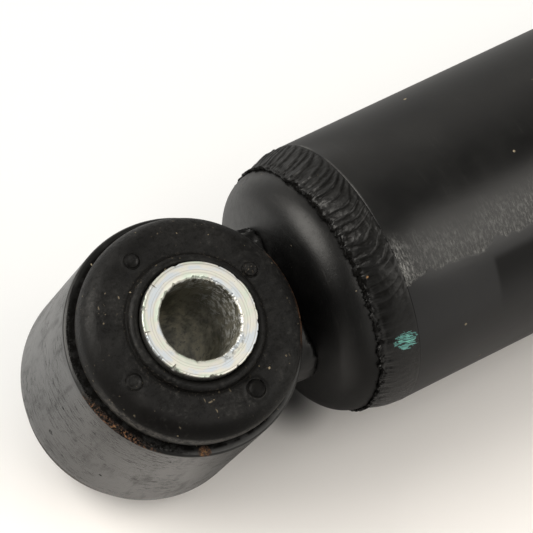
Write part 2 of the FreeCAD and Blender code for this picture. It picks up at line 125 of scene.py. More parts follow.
class Signal:
    """A socket of a node sheet that takes part in Python expressions."""

    def __init__(self, sheet: "NodeSheet", socket: bpy.types.NodeSocket) -> None:
        """Keep the sheet and the socket."""
        self.sheet = sheet
        self.socket = socket

    def math(self, operation: str, first: Number, second: Number = 0.0) -> "Signal":
        """Add one Math node.

        Args:
            operation: The node's operation.
            first: Upper value.
            second: Lower value, where the operation has one.

        Returns:
            The node's result.
        """
        return self.sheet.out("ShaderNodeMath", {"operation": operation}, {0: first, 1: second})

    def __add__(self, other: Number) -> "Signal":
        """Sum, from either side."""
        return self.math("ADD", self, other)

    def __mul__(self, other: Number) -> "Signal":
        """Product, from either side."""
        return self.math("MULTIPLY", self, other)

    __radd__ = __add__
    __rmul__ = __mul__

    def __sub__(self, other: Number) -> "Signal":
        """Difference."""
        return self.math("SUBTRACT", self, other)

    def __rsub__(self, other: Number) -> "Signal":
        """Difference, from the right."""
        return self.math("SUBTRACT", other, self)

    def __truediv__(self, other: Number) -> "Signal":
        """Quotient."""
        return self.math("DIVIDE", self, other)

    def __abs__(self) -> "Signal":
        """Size without sign."""
        return self.math("ABSOLUTE", self)

    def root(self) -> "Signal":
        """Square root."""
        return self.math("SQRT", self)

    def most(self, other: Number) -> "Signal":
        """The larger of two values."""
        return self.math("MAXIMUM", self, other)

    def turn_from(self, other: "Signal") -> "Signal":
        """Angle of this value over another, in radians from -pi to pi."""
        return self.math("ARCTAN2", self, other)

    def span(self, other: "Signal") -> "Signal":
        """Length of a line that has two values as its sides."""
        return (self * self + other * other).root()

    def toward(self, other: "Signal", side: float) -> "Signal":
        """How far two values reach towards a side, in degrees from the first to the second."""
        along, aside = polar(1.0, side)
        return self * along + other * aside

    def over(self, low: float, high: float) -> "Signal":
        """Smooth mask.

        Args:
            low: Value that gives 0.
            high: Value that gives 1, which may be the smaller of the two.

        Returns:
            A value from 0 to 1.
        """
        return self.sheet.out(
            "ShaderNodeMapRange",
            {"interpolation_type": "SMOOTHSTEP"},
            {"Value": self, "From Min": low, "From Max": high},
        )

    def band(self, start: float, full: float, last: float, end: float) -> "Signal":
        """Smooth mask that is 1 between the inner two values and 0 outside the outer two."""
        return self.over(start, full) * self.over(end, last)


class NodeSheet:
    """A node tree that a finish is drawn on."""

    def __init__(self, tree: bpy.types.NodeTree) -> None:
        """Empty the tree and keep it."""
        self.tree = tree
        tree.nodes.clear()

    def node(
        self, kind: str, settings: Optional[Settings] = None, sockets: Optional[Sockets] = None
    ) -> bpy.types.Node:
        """Add one node.

        Args:
            kind: The node's type.
            settings: The node's own settings, set first.
            sockets: Values, or signals to link, by input name or number.

        Returns:
            The new node.
        """
        made = self.tree.nodes.new(kind)
        for key, value in (settings or {}).items():
            setattr(made, key, value)
        for key, value in (sockets or {}).items():
            if isinstance(value, Signal):
                self.tree.links.new(value.socket, made.inputs[key])
            else:
                made.inputs[key].default_value = value
        return made

    def out(
        self,
        kind: str,
        settings: Optional[Settings] = None,
        sockets: Optional[Sockets] = None,
        result: Union[int, str] = 0,
    ) -> Signal:
        """Add one node as above, and take the result of one name or number."""
        return Signal(self, self.node(kind, settings, sockets).outputs[result])

    def place(self, centre: Sequence[float] = (0, 0, 0), stretch: Triple = (1, 1, 1)) -> Signal:
        """Place on the piece in millimetres.

        Args:
            centre: Point in millimetres that reads as nought.
            stretch: Factor along each axis, small where a pattern is long.

        Returns:
            The place as a vector.
        """
        sockets = {
            "Vector": self.out("ShaderNodeTexCoord", result="Object"),
            "Scale": [factor / MM for factor in stretch],
            "Location": [-middle * factor for middle, factor in zip(centre, stretch)],
        }
        return self.out("ShaderNodeMapping", sockets=sockets)

    def parts(self, vector: Signal) -> Tuple[Signal, ...]:
        """The three values of a vector."""
        node = self.node("ShaderNodeSeparateXYZ", sockets={0: vector})
        return tuple(Signal(self, socket) for socket in node.outputs)

    def vector(self, x: Number, y: Number = 0.0, z: Number = 0.0) -> Signal:
        """A vector from three values."""
        return self.out("ShaderNodeCombineXYZ", sockets={0: x, 1: y, 2: z})

    def measure(self, operation: str, first: Signal, second: Sequence[float]) -> Signal:
        """One number from two vectors, such as their distance."""
        sockets = {0: first, 1: second}
        return self.out("ShaderNodeVectorMath", {"operation": operation}, sockets, "Value")

    def ray(self, kind: str) -> Signal:
        """1 where the light path's ray is of one kind, and 0 elsewhere."""
        return self.out("ShaderNodeLightPath", result=f"Is {kind} Ray")

    def cloud(self, vector: Signal, size: float, detail: float, rough: float) -> Signal:
        """Soft noise.

        Args:
            vector: Place in millimetres.
            size: Size of one patch in millimetres.
            detail: Number of finer layers.
            rough: Strength of the finer layers.

        Returns:
            A value round 0.5.
        """
        return self.out(
            "ShaderNodeTexNoise",
            sockets={"Vector": vector, "Scale": 1 / size, "Detail": detail, "Roughness": rough},
        )

    def specks(self, vector: Signal, spacing: float, size: float, share: float) -> Signal:
        """Scattered dots.

        Args:
            vector: Place in millimetres.
            spacing: Distance between places that may hold a dot, in millimetres.
            size: Radius of a large dot in millimetres.
            share: Part of the places that hold one.

        Returns:
            A mask from 0 to 1.
        """
        sockets = {"Vector": vector, "Scale": 0.8 / size}
        wander = self.out("ShaderNodeTexNoise", sockets=sockets, result="Color")
        sockets = {0: wander, 1: [2.2 * size] * 3, 2: vector}
        ragged = self.out("ShaderNodeVectorMath", {"operation": "MULTIPLY_ADD"}, sockets)
        node = self.node("ShaderNodeTexVoronoi", sockets={"Vector": ragged, "Scale": 1 / spacing})
        chance, grade, _ = self.parts(Signal(self, node.outputs["Color"]))
        held = chance.over(1 - share - 0.001, 1 - share + 0.001)
        reach = size / spacing * (0.4 + 0.6 * grade)
        return held * (Signal(self, node.outputs["Distance"]) / reach).over(1.0, 0.6)

    def near(self, vector: Signal, place: Sequence[float], reach: float) -> Signal:
        """Mask of one round mark with a middle and a radius."""
        return self.measure("DISTANCE", vector, place).over(reach, 0.6 * reach)

    def blend(self, mask: Number, first: Tint, second: Tint) -> Signal:
        """Mix of two colours, the first where the mask is 0 and the second where it is 1."""
        sockets = {0: mask, 6: first, 7: second}
        return self.out("ShaderNodeMix", {"data_type": "RGBA"}, sockets, 2)

    def relief(self, height: Signal) -> Signal:
        """Surface normal from a height in millimetres."""
        sockets = {"Height": height, "Distance": MM, "Strength": 1.0}
        return self.out("ShaderNodeBump", sockets=sockets)


def blank(name: str) -> Tuple[bpy.types.Material, NodeSheet]:
    """A new material and its empty node sheet."""
    made = bpy.data.materials.new(name)
    made.use_nodes = True
    return made, NodeSheet(made.node_tree)


@dataclass(frozen=True)
class Finish:
    """A finish: a named surface with its own node sheet."""

    name: str
    centre: Triple = (0, 0, 0)

    def draw(self, sheet: NodeSheet) -> Sockets:
        """Draw the surface.

        Args:
            sheet: Empty node sheet.

        Returns:
            Values and signals for the surface shader's sockets.
        """
        raise NotImplementedError

    def streaks(
        self, sheet: NodeSheet, stretch: Triple, size: float, detail: float, rough: float
    ) -> Signal:
        """Soft noise that is longer along the axes with a small stretch."""
        return sheet.cloud(sheet.place(self.centre, stretch), size, detail, rough)

    def material(self) -> bpy.types.Material:
        """Make the material, with a dull black layer over it where the finish has any: sooty dirt,
        and painted shade in grooves, crevices and on shaded sides.
        """
        made, sheet = blank(self.name)
        sockets = self.draw(sheet)
        soot_and_shade = sockets.pop("SootAndShade", None)
        shader = sheet.out("ShaderNodeBsdfPrincipled", sockets=sockets)
        if soot_and_shade is not None:
            dull = {"Base Color": SOOT_AND_SHADE, "Roughness": 0.9, "Specular IOR Level": 0.08}
            over = sheet.out("ShaderNodeBsdfPrincipled", sockets=dull)
            shader = sheet.out("ShaderNodeMixShader", sockets={0: soot_and_shade, 1: shader, 2: over})
        sheet.node("ShaderNodeOutputMaterial", sockets={"Surface": shader})
        return made


class Axis(Enum):
    """Direction that a round piece turns about."""

    SHOCK = (1, 0, 0)
    BORE = (0, 0, 1)

    @property
    def letter(self) -> str:
        """Name of the axis."""
        return "XYZ"[self.value.index(1)]

    def ring_stretch(self, long: float) -> Triple:
        """Stretch of a pattern that runs round the axis."""
        return tuple(1.0 if part else long for part in self.value)


RUST: Colour = (0.15, 0.064, 0.024, 1)
OCHRE: Colour = (0.24, 0.14, 0.055, 1)
DARK_RUST: Colour = (0.028, 0.013, 0.008, 1)
DUST: Colour = (0.40, 0.33, 0.22, 1)
SILT: Colour = (0.24, 0.20, 0.15, 1)
BLACK: Colour = (0.0030, 0.0030, 0.0031, 1)
SOFT_BLACK: Colour = (0.0052, 0.0052, 0.0051, 1)
FILM_BLACK: Colour = (0.0085, 0.0088, 0.0102, 1)
# Pale grey of scuffs, and of the painted highlight along the tube's end edge.
SCUFF_AND_HIGHLIGHT_GREY: Colour = (0.30, 0.30, 0.29, 1)
# Dull black of sooty dirt, and of painted shade in crevices and on shaded sides.
SOOT_AND_SHADE: Colour = (0.0030, 0.0028, 0.0025, 1)
DARK_TEAL: Colour = (0.10, 0.29, 0.27, 1)
TEAL: Colour = (0.16, 0.43, 0.39, 1)
PALE_TEAL: Colour = (0.22, 0.62, 0.52, 1)


@dataclass(frozen=True)
class Coat:
    """Colour, roughness, height and dull black layer (sooty dirt and painted shade) of a coat of
    paint while it is drawn.
    """

    colour: Signal
    rough: Signal
    height: Signal
    soot_and_shade: Optional[Signal] = None


@dataclass(frozen=True)
class BlackPaint(Finish):
    """Satin black paint on steel, scuffed round the piece."""

    axis: Axis = Axis.SHOCK
    roughness: float = 0.33
    scuffs: float = 1.0
    gloss: float = 0.5

    def wear(self, sheet: NodeSheet, spot: Signal, coat: Coat) -> Coat:
        """Marks of one piece, added over the plain paint.

        Args:
            sheet: Node sheet of the finish.
            spot: Place on the piece in millimetres.
            coat: The plain paint.

        Returns:
            The paint with its marks.
        """
        return coat

    def draw(self, sheet: NodeSheet) -> Sockets:
        """Draw the paint: cloudy black, orange peel, scuffs round the piece, and dust."""
        spot = sheet.place(self.centre)
        streak = self.streaks(sheet, self.axis.ring_stretch(0.05), 0.4, 3, 0.6)
        patch = sheet.cloud(spot, 9, 3, 0.55)
        peel = sheet.cloud(spot, 1.3, 2, 0.5)
        marks = streak.over(0.56, 0.74) * patch.over(0.44, 0.64) * self.scuffs
        dust = sheet.specks(spot, 3.6, 0.17, 0.10)
        colour = sheet.blend(patch.over(0.35, 0.7), BLACK, SOFT_BLACK)
        colour = sheet.blend(marks * 0.06, colour, SCUFF_AND_HIGHLIGHT_GREY)
        colour = sheet.blend(dust * 0.5, colour, DUST)
        rough = self.roughness + 0.10 * (patch - 0.5) + 0.12 * marks + 0.3 * dust
        height = 0.010 * peel - 0.006 * marks + 0.03 * dust
        coat = self.wear(sheet, spot, Coat(colour, rough, height))
        sockets: Sockets = {
            "Base Color": coat.colour,
            "Roughness": coat.rough,
            "Normal": sheet.relief(coat.height),
            "Specular IOR Level": self.gloss,
        }
        if coat.soot_and_shade is not None:
            sockets["SootAndShade"] = coat.soot_and_shade
        return sockets


@dataclass(frozen=True)
class RingPaint(BlackPaint):
    """Black paint of an eye ring, with a rusty rim, pits and scratches round the wall."""

    rim_r: float = 24.0
    rim_z: float = 18.0
    rusty_side: float = -154.0
    crumbly_side: float = -170.0
    rubbed_side: float = -14.0
    chip: Triple = (-7.5, -21.9, 18.0)
    pits: Tuple[Triple, ...] = (
        (-174.7, -8.8, 0.75),
        (-143.8, -8.1, 0.5),
        (-178.4, 4.6, 0.5),
        (-122.8, 13.2, 0.5),
        (163.5, -16.7, 0.45),
    )

    def holes(self, sheet: NodeSheet, spot: Signal) -> Signal:
        """Pits in the wall."""
        mask = sheet.specks(spot, 7.5, 0.34, 0.3)
        for turn, level, size in self.pits:
            mask = mask.most(sheet.near(spot, (*polar(self.rim_r, turn), level), size))
        return mask * sheet.cloud(spot, 0.5, 3, 0.7).over(0.38, 0.56)

    def wear(self, sheet: NodeSheet, spot: Signal, coat: Coat) -> Coat:
        """Rust, grit and dirt along the rim, with painted shade in the crevice against the bush,
        pits and short scratches in the wall.
        """
        x, y, z = sheet.parts(spot)
        inwards, below = self.rim_r - x.span(y), self.rim_z - abs(z)
        sides = (self.rusty_side, self.crumbly_side, self.rubbed_side)
        rusty, crumbly, rubbed = (x.toward(y, side) / self.rim_r for side in sides)
        rim, wall = below.over(0.75, 0.4), below.over(0.7, 1.4)
        flakes = sheet.cloud(spot, 0.5, 5, 0.75)
        zone = rusty.over(0.895, 0.965) * inwards.over(1.7, 1.2)
        line = rubbed.over(0.955, 0.985) * inwards.over(0.9, 0.6)
        chip = sheet.near(spot, self.chip, 1.5) * flakes.over(0.42, 0.50)
        rust = rim * (zone.most(line) * flakes.over(0.49, 0.55)).most(chip)
        tone = sheet.cloud(spot, 0.55, 4, 0.75)
        shade = sheet.blend(tone.over(0.44, 0.54), DARK_RUST, RUST)
        shade = sheet.blend(tone.over(0.57, 0.64), shade, OCHRE)
        patchy = sheet.cloud(spot, 1.6, 3, 0.6)
        grit = sheet.specks(spot, 1.15, 0.24, 0.30) * rim * inwards.over(0.6, 1.3)
        rough = crumbly.over(0.5, 0.7) * inwards.over(0.35, 0.8)
        crumbs = sheet.cloud(spot, 0.45, 3, 0.7)
        # Dark along the rim and darker towards the bush: dirt, and painted shade in the crevice
        # between ring and bush.
        dirt_and_crevice_shade = inwards.over(0.7, 1.5).most(0.85 * zone).most(rough * crumbs.over(0.42, 0.5))
        dirt_and_crevice_shade = rim * dirt_and_crevice_shade * (0.5 + 0.5 * patchy.over(0.36, 0.56))
        pits = self.holes(sheet, spot) * wall
        dashes = self.streaks(sheet, (0.26, 0.26, 1.5), 0.5, 2, 0.7).over(0.56, 0.64)
        lines = self.streaks(sheet, (0.05, 0.05, 1.6), 0.5, 2, 0.65).over(0.56, 0.68)
        worn = sheet.cloud(spot, 10, 3, 0.55).over(0.42, 0.58)
        scratches = (dashes * (0.2 + 0.8 * worn)).most(0.6 * lines * worn) * wall
        smudge = self.streaks(sheet, (1, 1, 0.3), 3.0, 4, 0.65).over(0.5, 0.75) * wall
        colour = sheet.blend(rust, coat.colour, shade)
        colour = sheet.blend(0.75 * grit, colour, DUST)
        clean = (1.0 - rust) * (1.0 - grit)
        raised = 0.10 * rust * flakes + 0.3 * crumbs * rough * rim + 0.05 * grit
        return Coat(
            colour,
            coat.rough + 0.4 * rust + 0.2 * grit + 0.10 * smudge,
            coat.height + raised - 0.2 * pits - 0.02 * scratches,
            (dirt_and_crevice_shade * clean).most(0.8 * pits).most(0.6 * scratches).most(0.12 * smudge),
        )


@dataclass(frozen=True)
class TubePaint(BlackPaint):
    """Black paint of the reservoir tube: dry and scuffed above, a smoother film below."""

    start_x: float = 42.77
    tube_r: float = 28.0
    crumbs: Tuple[Triple, ...] = (
        (67.3, 59.7, 0.4),
        (59.0, -80.8, 0.35),
        (53.8, -52.1, 0.35),
        (76.2, 6.9, 0.3),
    )

    def wear(self, sheet: NodeSheet, spot: Signal, coat: Coat) -> Coat:
        """The wavy edge of the smooth film, the brushed scuffs above it, crumbs, and a painted
        highlight along the tube's end edge on its upper side.
        """
        x, y, z = sheet.parts(spot)
        turn = y.turn_from(z)
        wander = sheet.cloud(sheet.vector(x + 3.0), 6, 4, 0.62)
        above = turn + 0.40 - 0.30 * (wander - 0.5)
        film = above.over(0.006, -0.006) * turn.over(-2.7, -2.3)
        fresh = x.over(self.start_x + 5, self.start_x + 0.5)
        band = above.over(-0.004, 0.012) * (above - 0.10 * fresh).over(0.34, 0.06)
        fine = self.streaks(sheet, (1, 0.2, 0.2), 0.34, 4, 0.78)
        grain = self.streaks(sheet, (1, 0.5, 0.5), 0.45, 3, 0.7)
        lip = above.band(-0.004, 0.006, 0.01, 0.05)
        patches = sheet.cloud(spot, 5, 3, 0.6).over(0.36, 0.62)
        bright = x.band(60, 73, 85, 110)
        rub = (fine.over(0.44, 0.66) + 0.7 * grain.over(0.48, 0.66)) * band
        rub = rub * (0.14 + 0.14 * patches + 0.10 * lip + 0.32 * fresh + 0.14 * bright)
        shade = film * x.band(62.1, 63.3, 72, 92) * turn.band(-0.98, -0.58, -0.54, -0.47)
        grit = 0.6 * sheet.specks(spot, 3.0, 0.22, 0.14)
        for along, side, size in self.crumbs:
            grit = grit.most(sheet.near(spot, (along, *polar(self.tube_r, side)[::-1]), size))
        # Painted highlight: a thin pale line along the tube's end edge on its upper side.
        edge = x.over(self.start_x + 0.5, self.start_x + 0.25) * turn.band(0.1, 0.4, 1.5, 1.8)
        colour = sheet.blend(0.6 * film, coat.colour, FILM_BLACK)
        colour = sheet.blend(rub.most(0.11 * edge * patches), colour, SCUFF_AND_HIGHLIGHT_GREY)
        colour = sheet.blend(0.6 * grit, colour, DUST)
        rough = coat.rough + 0.35 * rub - 0.02 * film + 0.2 * grit
        height = coat.height + 0.03 * film - 0.05 * rub + 0.05 * grit
        return Coat(colour, rough, height, 0.6 * shade * (1.0 - grit))


@dataclass(frozen=True)
class BeadPaint(BlackPaint):
    """Black paint over a weld bead: painted shade in the valleys and along the toe, rust dots, a
    dab of marking paint.
    """

    toe_x: float = 35.17
    edge_x: float = 42.77
    toe_r: float = 25.98
    edge_r: float = 27.88
    bulge: float = 0.62
    deep: float = 0.14
    calm_side: float = -80.0
    dots: Tuple[Triple, ...] = ()
    dot_r: float = 26.7
    dab: bool = False
    dab_x: float = 40.1
    dab_turn: float = -46.2

    def mark(self, sheet: NodeSheet, spot: Signal, coat: Coat) -> Coat:
        """The brushed dab."""
        x, y, z = sheet.parts(spot)
        along = x - self.dab_x
        slant = (y.turn_from(z) - math.radians(self.dab_turn)) * self.edge_r + 0.10 * along
        bristles = sheet.cloud(sheet.vector(along * 0.22, slant * 1.7), 0.5, 3, 0.65)
        ragged = sheet.cloud(sheet.vector(along * 0.5, slant), 0.8, 3, 0.65)
        reach = ((along * along) / 6.0 + (slant * slant) / 4.0).root() + 2.4 * (ragged - 0.5)
        brush = reach.over(0.96, 0.84) * bristles.over(0.43, 0.50)
        paint = sheet.blend(bristles.over(0.45, 0.62), DARK_TEAL, TEAL)
        paint = sheet.blend(ragged.over(0.50, 0.60), paint, PALE_TEAL)
        return Coat(
            sheet.blend(0.95 * brush, coat.colour, paint),
            coat.rough + 0.15 * brush,
            coat.height + 0.04 * brush,
            coat.soot_and_shade * (1.0 - brush),
        )

    def wear(self, sheet: NodeSheet, spot: Signal, coat: Coat) -> Coat:
        """Painted shade in the valleys and along the toe, rust dots, and the dab where there is
        one.
        """
        x, y, z = sheet.parts(spot)
        radius = y.span(z)
        across = (x - self.toe_x) / (self.edge_x - self.toe_x)
        slope = self.toe_r + (self.edge_r - self.toe_r) * across
        crest = slope + 4 * self.bulge * across * (1.0 - across)
        valley = (radius - crest).over(0.7 * self.deep, -0.8 * self.deep)
        calm = (z.toward(y, self.calm_side) / radius).over(0.62, 0.92)
        patchy = sheet.cloud(spot, 1.3, 4, 0.65)
        toe = (across + 0.9 * (patchy - 0.5)).over(0.04, -0.04)
        toe = toe * sheet.cloud(spot, 4, 2, 0.5).over(0.36, 0.48)
        toe = toe * (1.0 - 0.6 * calm * sheet.cloud(spot, 1.6, 2, 0.5).over(0.46, 0.54))
        spots = sheet.specks(spot, 7.5, 0.4, 0.10)
        for along, turn, size in self.dots:
            spots = spots.most(sheet.near(spot, (along, *polar(self.dot_r, turn)[::-1]), size))
        mottle = sheet.cloud(spot, 0.9, 4, 0.65)
        rust = spots * mottle.over(0.38, 0.44)
        # Painted shade: a thin even dull layer, darker in the ripple valleys and in the crevice
        # under the lip at the toe, less where the bead is smooth.
        soot_and_shade = ((0.22 + 0.55 * valley) * (1.0 - 0.85 * calm)).most(0.95 * toe)
        coat = Coat(
            sheet.blend(rust, coat.colour, sheet.blend(mottle.over(0.5, 0.66), RUST, OCHRE)),
            coat.rough + 0.16 * (mottle - 0.5) + 0.3 * rust - 0.08 * calm,
            coat.height + 0.03 * mottle,
            soot_and_shade * (1.0 - rust),
        )
        return self.mark(sheet, spot, coat) if self.dab else coat


@dataclass(frozen=True)
class CapPaint(BlackPaint):
    """Black paint of a dished cap, with painted shade along the weld's toe and on the dome's lower
    side, and dust on the dome.
    """

    toe_x: float = 35.17
    facing: int = 1

    def wear(self, sheet: NodeSheet, spot: Signal, coat: Coat) -> Coat:
        """Painted shade by the toe and on the lower side, haze, crumbs and hair-thin scratches."""
        x, y, z = sheet.parts(spot)
        ahead = (self.toe_x - x) * self.facing
        patchy = sheet.cloud(spot, 1.2, 4, 0.7)
        # Painted shade on the dome just ahead of the weld's toe, where the bead's lip overhangs.
        soot_and_shade = (ahead + 6.0 * (patchy - 0.5)).over(0.9, 0.3)
        soot_and_shade = soot_and_shade * sheet.cloud(spot, 4, 2, 0.5).over(0.36, 0.5)
        # Painted shade: the dome darker towards -Y and -Z, on its lower side.
        painted_low_side_shade = 0.5 * (-0.85 * y - 0.35 * z).over(4, 15)
        crumbs = sheet.specks(spot, 3.1, 0.24, 0.16)
        haze = sheet.cloud(spot, 1.7, 5, 0.7)
        grain = sheet.cloud(spot, 0.5, 2, 0.7)
        hairs = self.streaks(sheet, (0.3, 1, 0.12), 0.35, 3, 0.65).over(0.62, 0.70)
        return Coat(
            sheet.blend(0.5 * crumbs, coat.colour, DUST),
            coat.rough + 0.16 * (haze - 0.5) + 0.12 * hairs + 0.2 * crumbs,
            coat.height + 0.014 * haze + 0.016 * grain + 0.05 * crumbs - 0.008 * hairs,
            (0.9 * soot_and_shade).most(0.12 * haze.over(0.5, 0.75)).most(painted_low_side_shade) * (1.0 - crumbs),
        )


@dataclass(frozen=True)
class Mark:
    """Round moulding mark on a bush's face: its place, its radius and how far it stands out."""

    circle: float
    turn: float
    size: float
    stand: float
    lip: float = 0.20
    lip_at: float = 1.75
    lip_width: float = 0.26
    ring: float = 0.45
    reach: float = 2.6

    def middle(self, turned: float = 0.0) -> Point:
        """Middle of the mark on a bush that is turned by some degrees."""
        return polar(self.circle, self.turn + turned)

    def change(self, spot: Vector) -> float:
        """Change of the face at a place: a lip, a ring inside it, and the middle."""
        gap = (spot.xy - Vector(self.middle())).length / self.size
        if gap >= self.reach:
            return 0.0
        lip = self.lip * math.exp(-(((gap - self.lip_at) / self.lip_width) ** 2))
        ring = self.ring * ease(1.65, 1.35, gap) * ease(0.75, 1.2, gap)
        return lip - ring - self.stand * ease(1.5, 0.7, gap)


MARKS = (
    Mark(17.1, 108.6, 1.0, 0.15),
    Mark(15.9, 18.2, 1.0, 0.45),
    Mark(17.4, -163.5, 1.1, 0.1),
    Mark(16.9, -74.5, 1.2, 1.2, lip=0.34),
)
DUSTY_MARK, TALL_MARK = MARKS[1], MARKS[3]


@dataclass(frozen=True)
class BushRubber(Finish):
    """Moulded black rubber with fine grain, rubbed patches, dust and silt, painted shade in the
    grooves, round the moulding marks and on the shoulder's lower side, and a painted highlight on
    one lip.
    """

    turn: float = 0.0
    face_z: float = 26.0
    # Side of the tall mark whose lip gets a painted highlight, in degrees.
    highlight_lip_side: float = -100.0

    def rims(self, sheet: NodeSheet, flat: Signal) -> Signal:
        """Painted shade: dark rings round the moulding marks, and all of the tall one."""
        mask: Number = 0.0
        for mark in MARKS:
            gap = sheet.measure("DISTANCE", flat, (*mark.middle(self.turn), 0))
            mask = abs(gap - 1.45 * mark.size).over(0.26, 0.06).most(mask)
            if mark is TALL_MARK:
                mask = gap.over(1.6 * mark.size, 0.8 * mark.size).most(mask)
        return mask

    def painted_lip_highlight(self, sheet: NodeSheet, flat: Signal, x: Signal, y: Signal) -> Signal:
        """Painted highlight: a pale lip on the lit side of the tall mark."""
        mark, side = TALL_MARK, self.highlight_lip_side
        gap = sheet.measure("DISTANCE", flat, (*mark.middle(self.turn), 0))
        past = x.toward(y, side + self.turn) - polar(mark.circle, side - mark.turn)[0]
        return 0.8 * abs(gap - 1.6 * mark.size).over(0.30, 0.05) * past.over(0.2, 1.6)

    def draw(self, sheet: NodeSheet) -> Sockets:
        """Draw the rubber."""
        spot = sheet.place(self.centre)
        x, y, z = sheet.parts(spot)
        radius, level, flat = x.span(y), abs(z), sheet.vector(x, y)

        def lean(side: float) -> Signal:
            """How far a place lies towards one side of the bush, from -1 to 1."""
            return x.toward(y, side + self.turn) / radius

        grain = sheet.cloud(spot, 0.62, 4, 0.72)
        mottle = sheet.cloud(spot, 1.0, 5, 0.75)
        rubbed = sheet.cloud(spot, 6, 4, 0.6)
        settled = sheet.cloud(spot, 8, 3, 0.6)
        dust = sheet.specks(spot, 1.15, 0.25, 0.42) * settled.over(0.42, 0.56)
        crumbs = sheet.specks(spot, 3.2, 0.34, 0.18)
        below = lean(-138).over(0.25, 0.8)
        strewn = settled.over(0.42, 0.55).most(below)
        straw = sheet.specks(sheet.place(self.centre, (1.0, 0.35, 0.8)), 1.1, 0.21, 0.26)
        lint = sheet.specks(sheet.place(self.centre, (0.35, 1.0, 0.8)), 1.2, 0.21, 0.26)
        dirt = dust.most(crumbs).most(0.42 * strewn * straw.most(lint))
        groove = level.band(17.6, 18.2, 19.8, 21.8)
        foot = radius.band(13.2, 13.6, 14.0, 15.2) * level.over(26.0, 26.4)
        sandy = sheet.near(spot, (*DUSTY_MARK.middle(self.turn), self.face_z), 1.9)
        shoulder = radius.over(18.0, 20.6) * below
        lip = radius.over(22.05, 22.3) * level.over(20.5, 21.5) * lean(-110).over(0.3, 0.7)
        pinch = radius.over(12.4, 12.0).most(radius.band(13.5, 13.8, 14.1, 14.6))
        face = level.over(24.5, 25.2)
        rims = self.rims(sheet, flat) * face
        silt = groove.most(0.4 * foot).most(1.6 * sandy)
        silt = silt * sheet.cloud(spot, 0.5, 4, 0.75).over(0.56, 0.66)
        bloom_and_highlight = mottle.over(0.50, 0.72) * settled.over(0.40, 0.60)
        # Pale film of the rubber, with the painted highlight on the tall mark's lip added.
        bloom_and_highlight = bloom_and_highlight.most(self.painted_lip_highlight(sheet, flat, x, y) * face)
        edge = radius.over(21.2, 21.6) * z.over(22.2, 22.6) * mottle.over(0.44, 0.56)
        edge = edge * lean(-8).over(0.86, 0.95)
        fresh, worn = (0.0030, 0.0029, 0.0028, 1), (0.0090, 0.0087, 0.0083, 1)
        colour = sheet.blend(rubbed.over(0.42, 0.72), fresh, worn)
        colour = sheet.blend(0.6 * bloom_and_highlight, colour, (0.040, 0.039, 0.036, 1))
        colour = sheet.blend(0.7 * dirt, colour, DUST)
        colour = sheet.blend(0.55 * silt, colour, SILT)
        colour = sheet.blend(0.5 * lip * mottle.over(0.42, 0.6), colour, (0.085, 0.078, 0.066, 1))
        colour = sheet.blend(0.75 * edge, colour, (0.11, 0.052, 0.026, 1))
        # Painted shade in the groove by the ring, next to the sleeve and at the collar's foot, and
        # round the moulding marks; random dark mottle.
        soot_and_shade = (0.7 * groove.most(pinch)).most(0.4 * mottle.over(0.5, 0.36)).most(0.6 * rims)
        # Painted shade on the lower side of the shoulder.
        soot_and_shade = soot_and_shade.most(0.6 * shoulder * (1.0 - lip))
        height = 0.085 * grain + 0.03 * mottle - 0.2 * rims + 0.10 * dirt + 0.08 * silt
        return {
            "Base Color": colour,
            "Roughness": 0.50 + 0.24 * (rubbed - 0.5) + 0.3 * (grain - 0.5) + 0.3 * dirt,
            "Normal": sheet.relief(height),
            "Specular IOR Level": 0.25,
            "SootAndShade": soot_and_shade * (1.0 - dirt) * (1.0 - silt) * (1.0 - edge),
        }


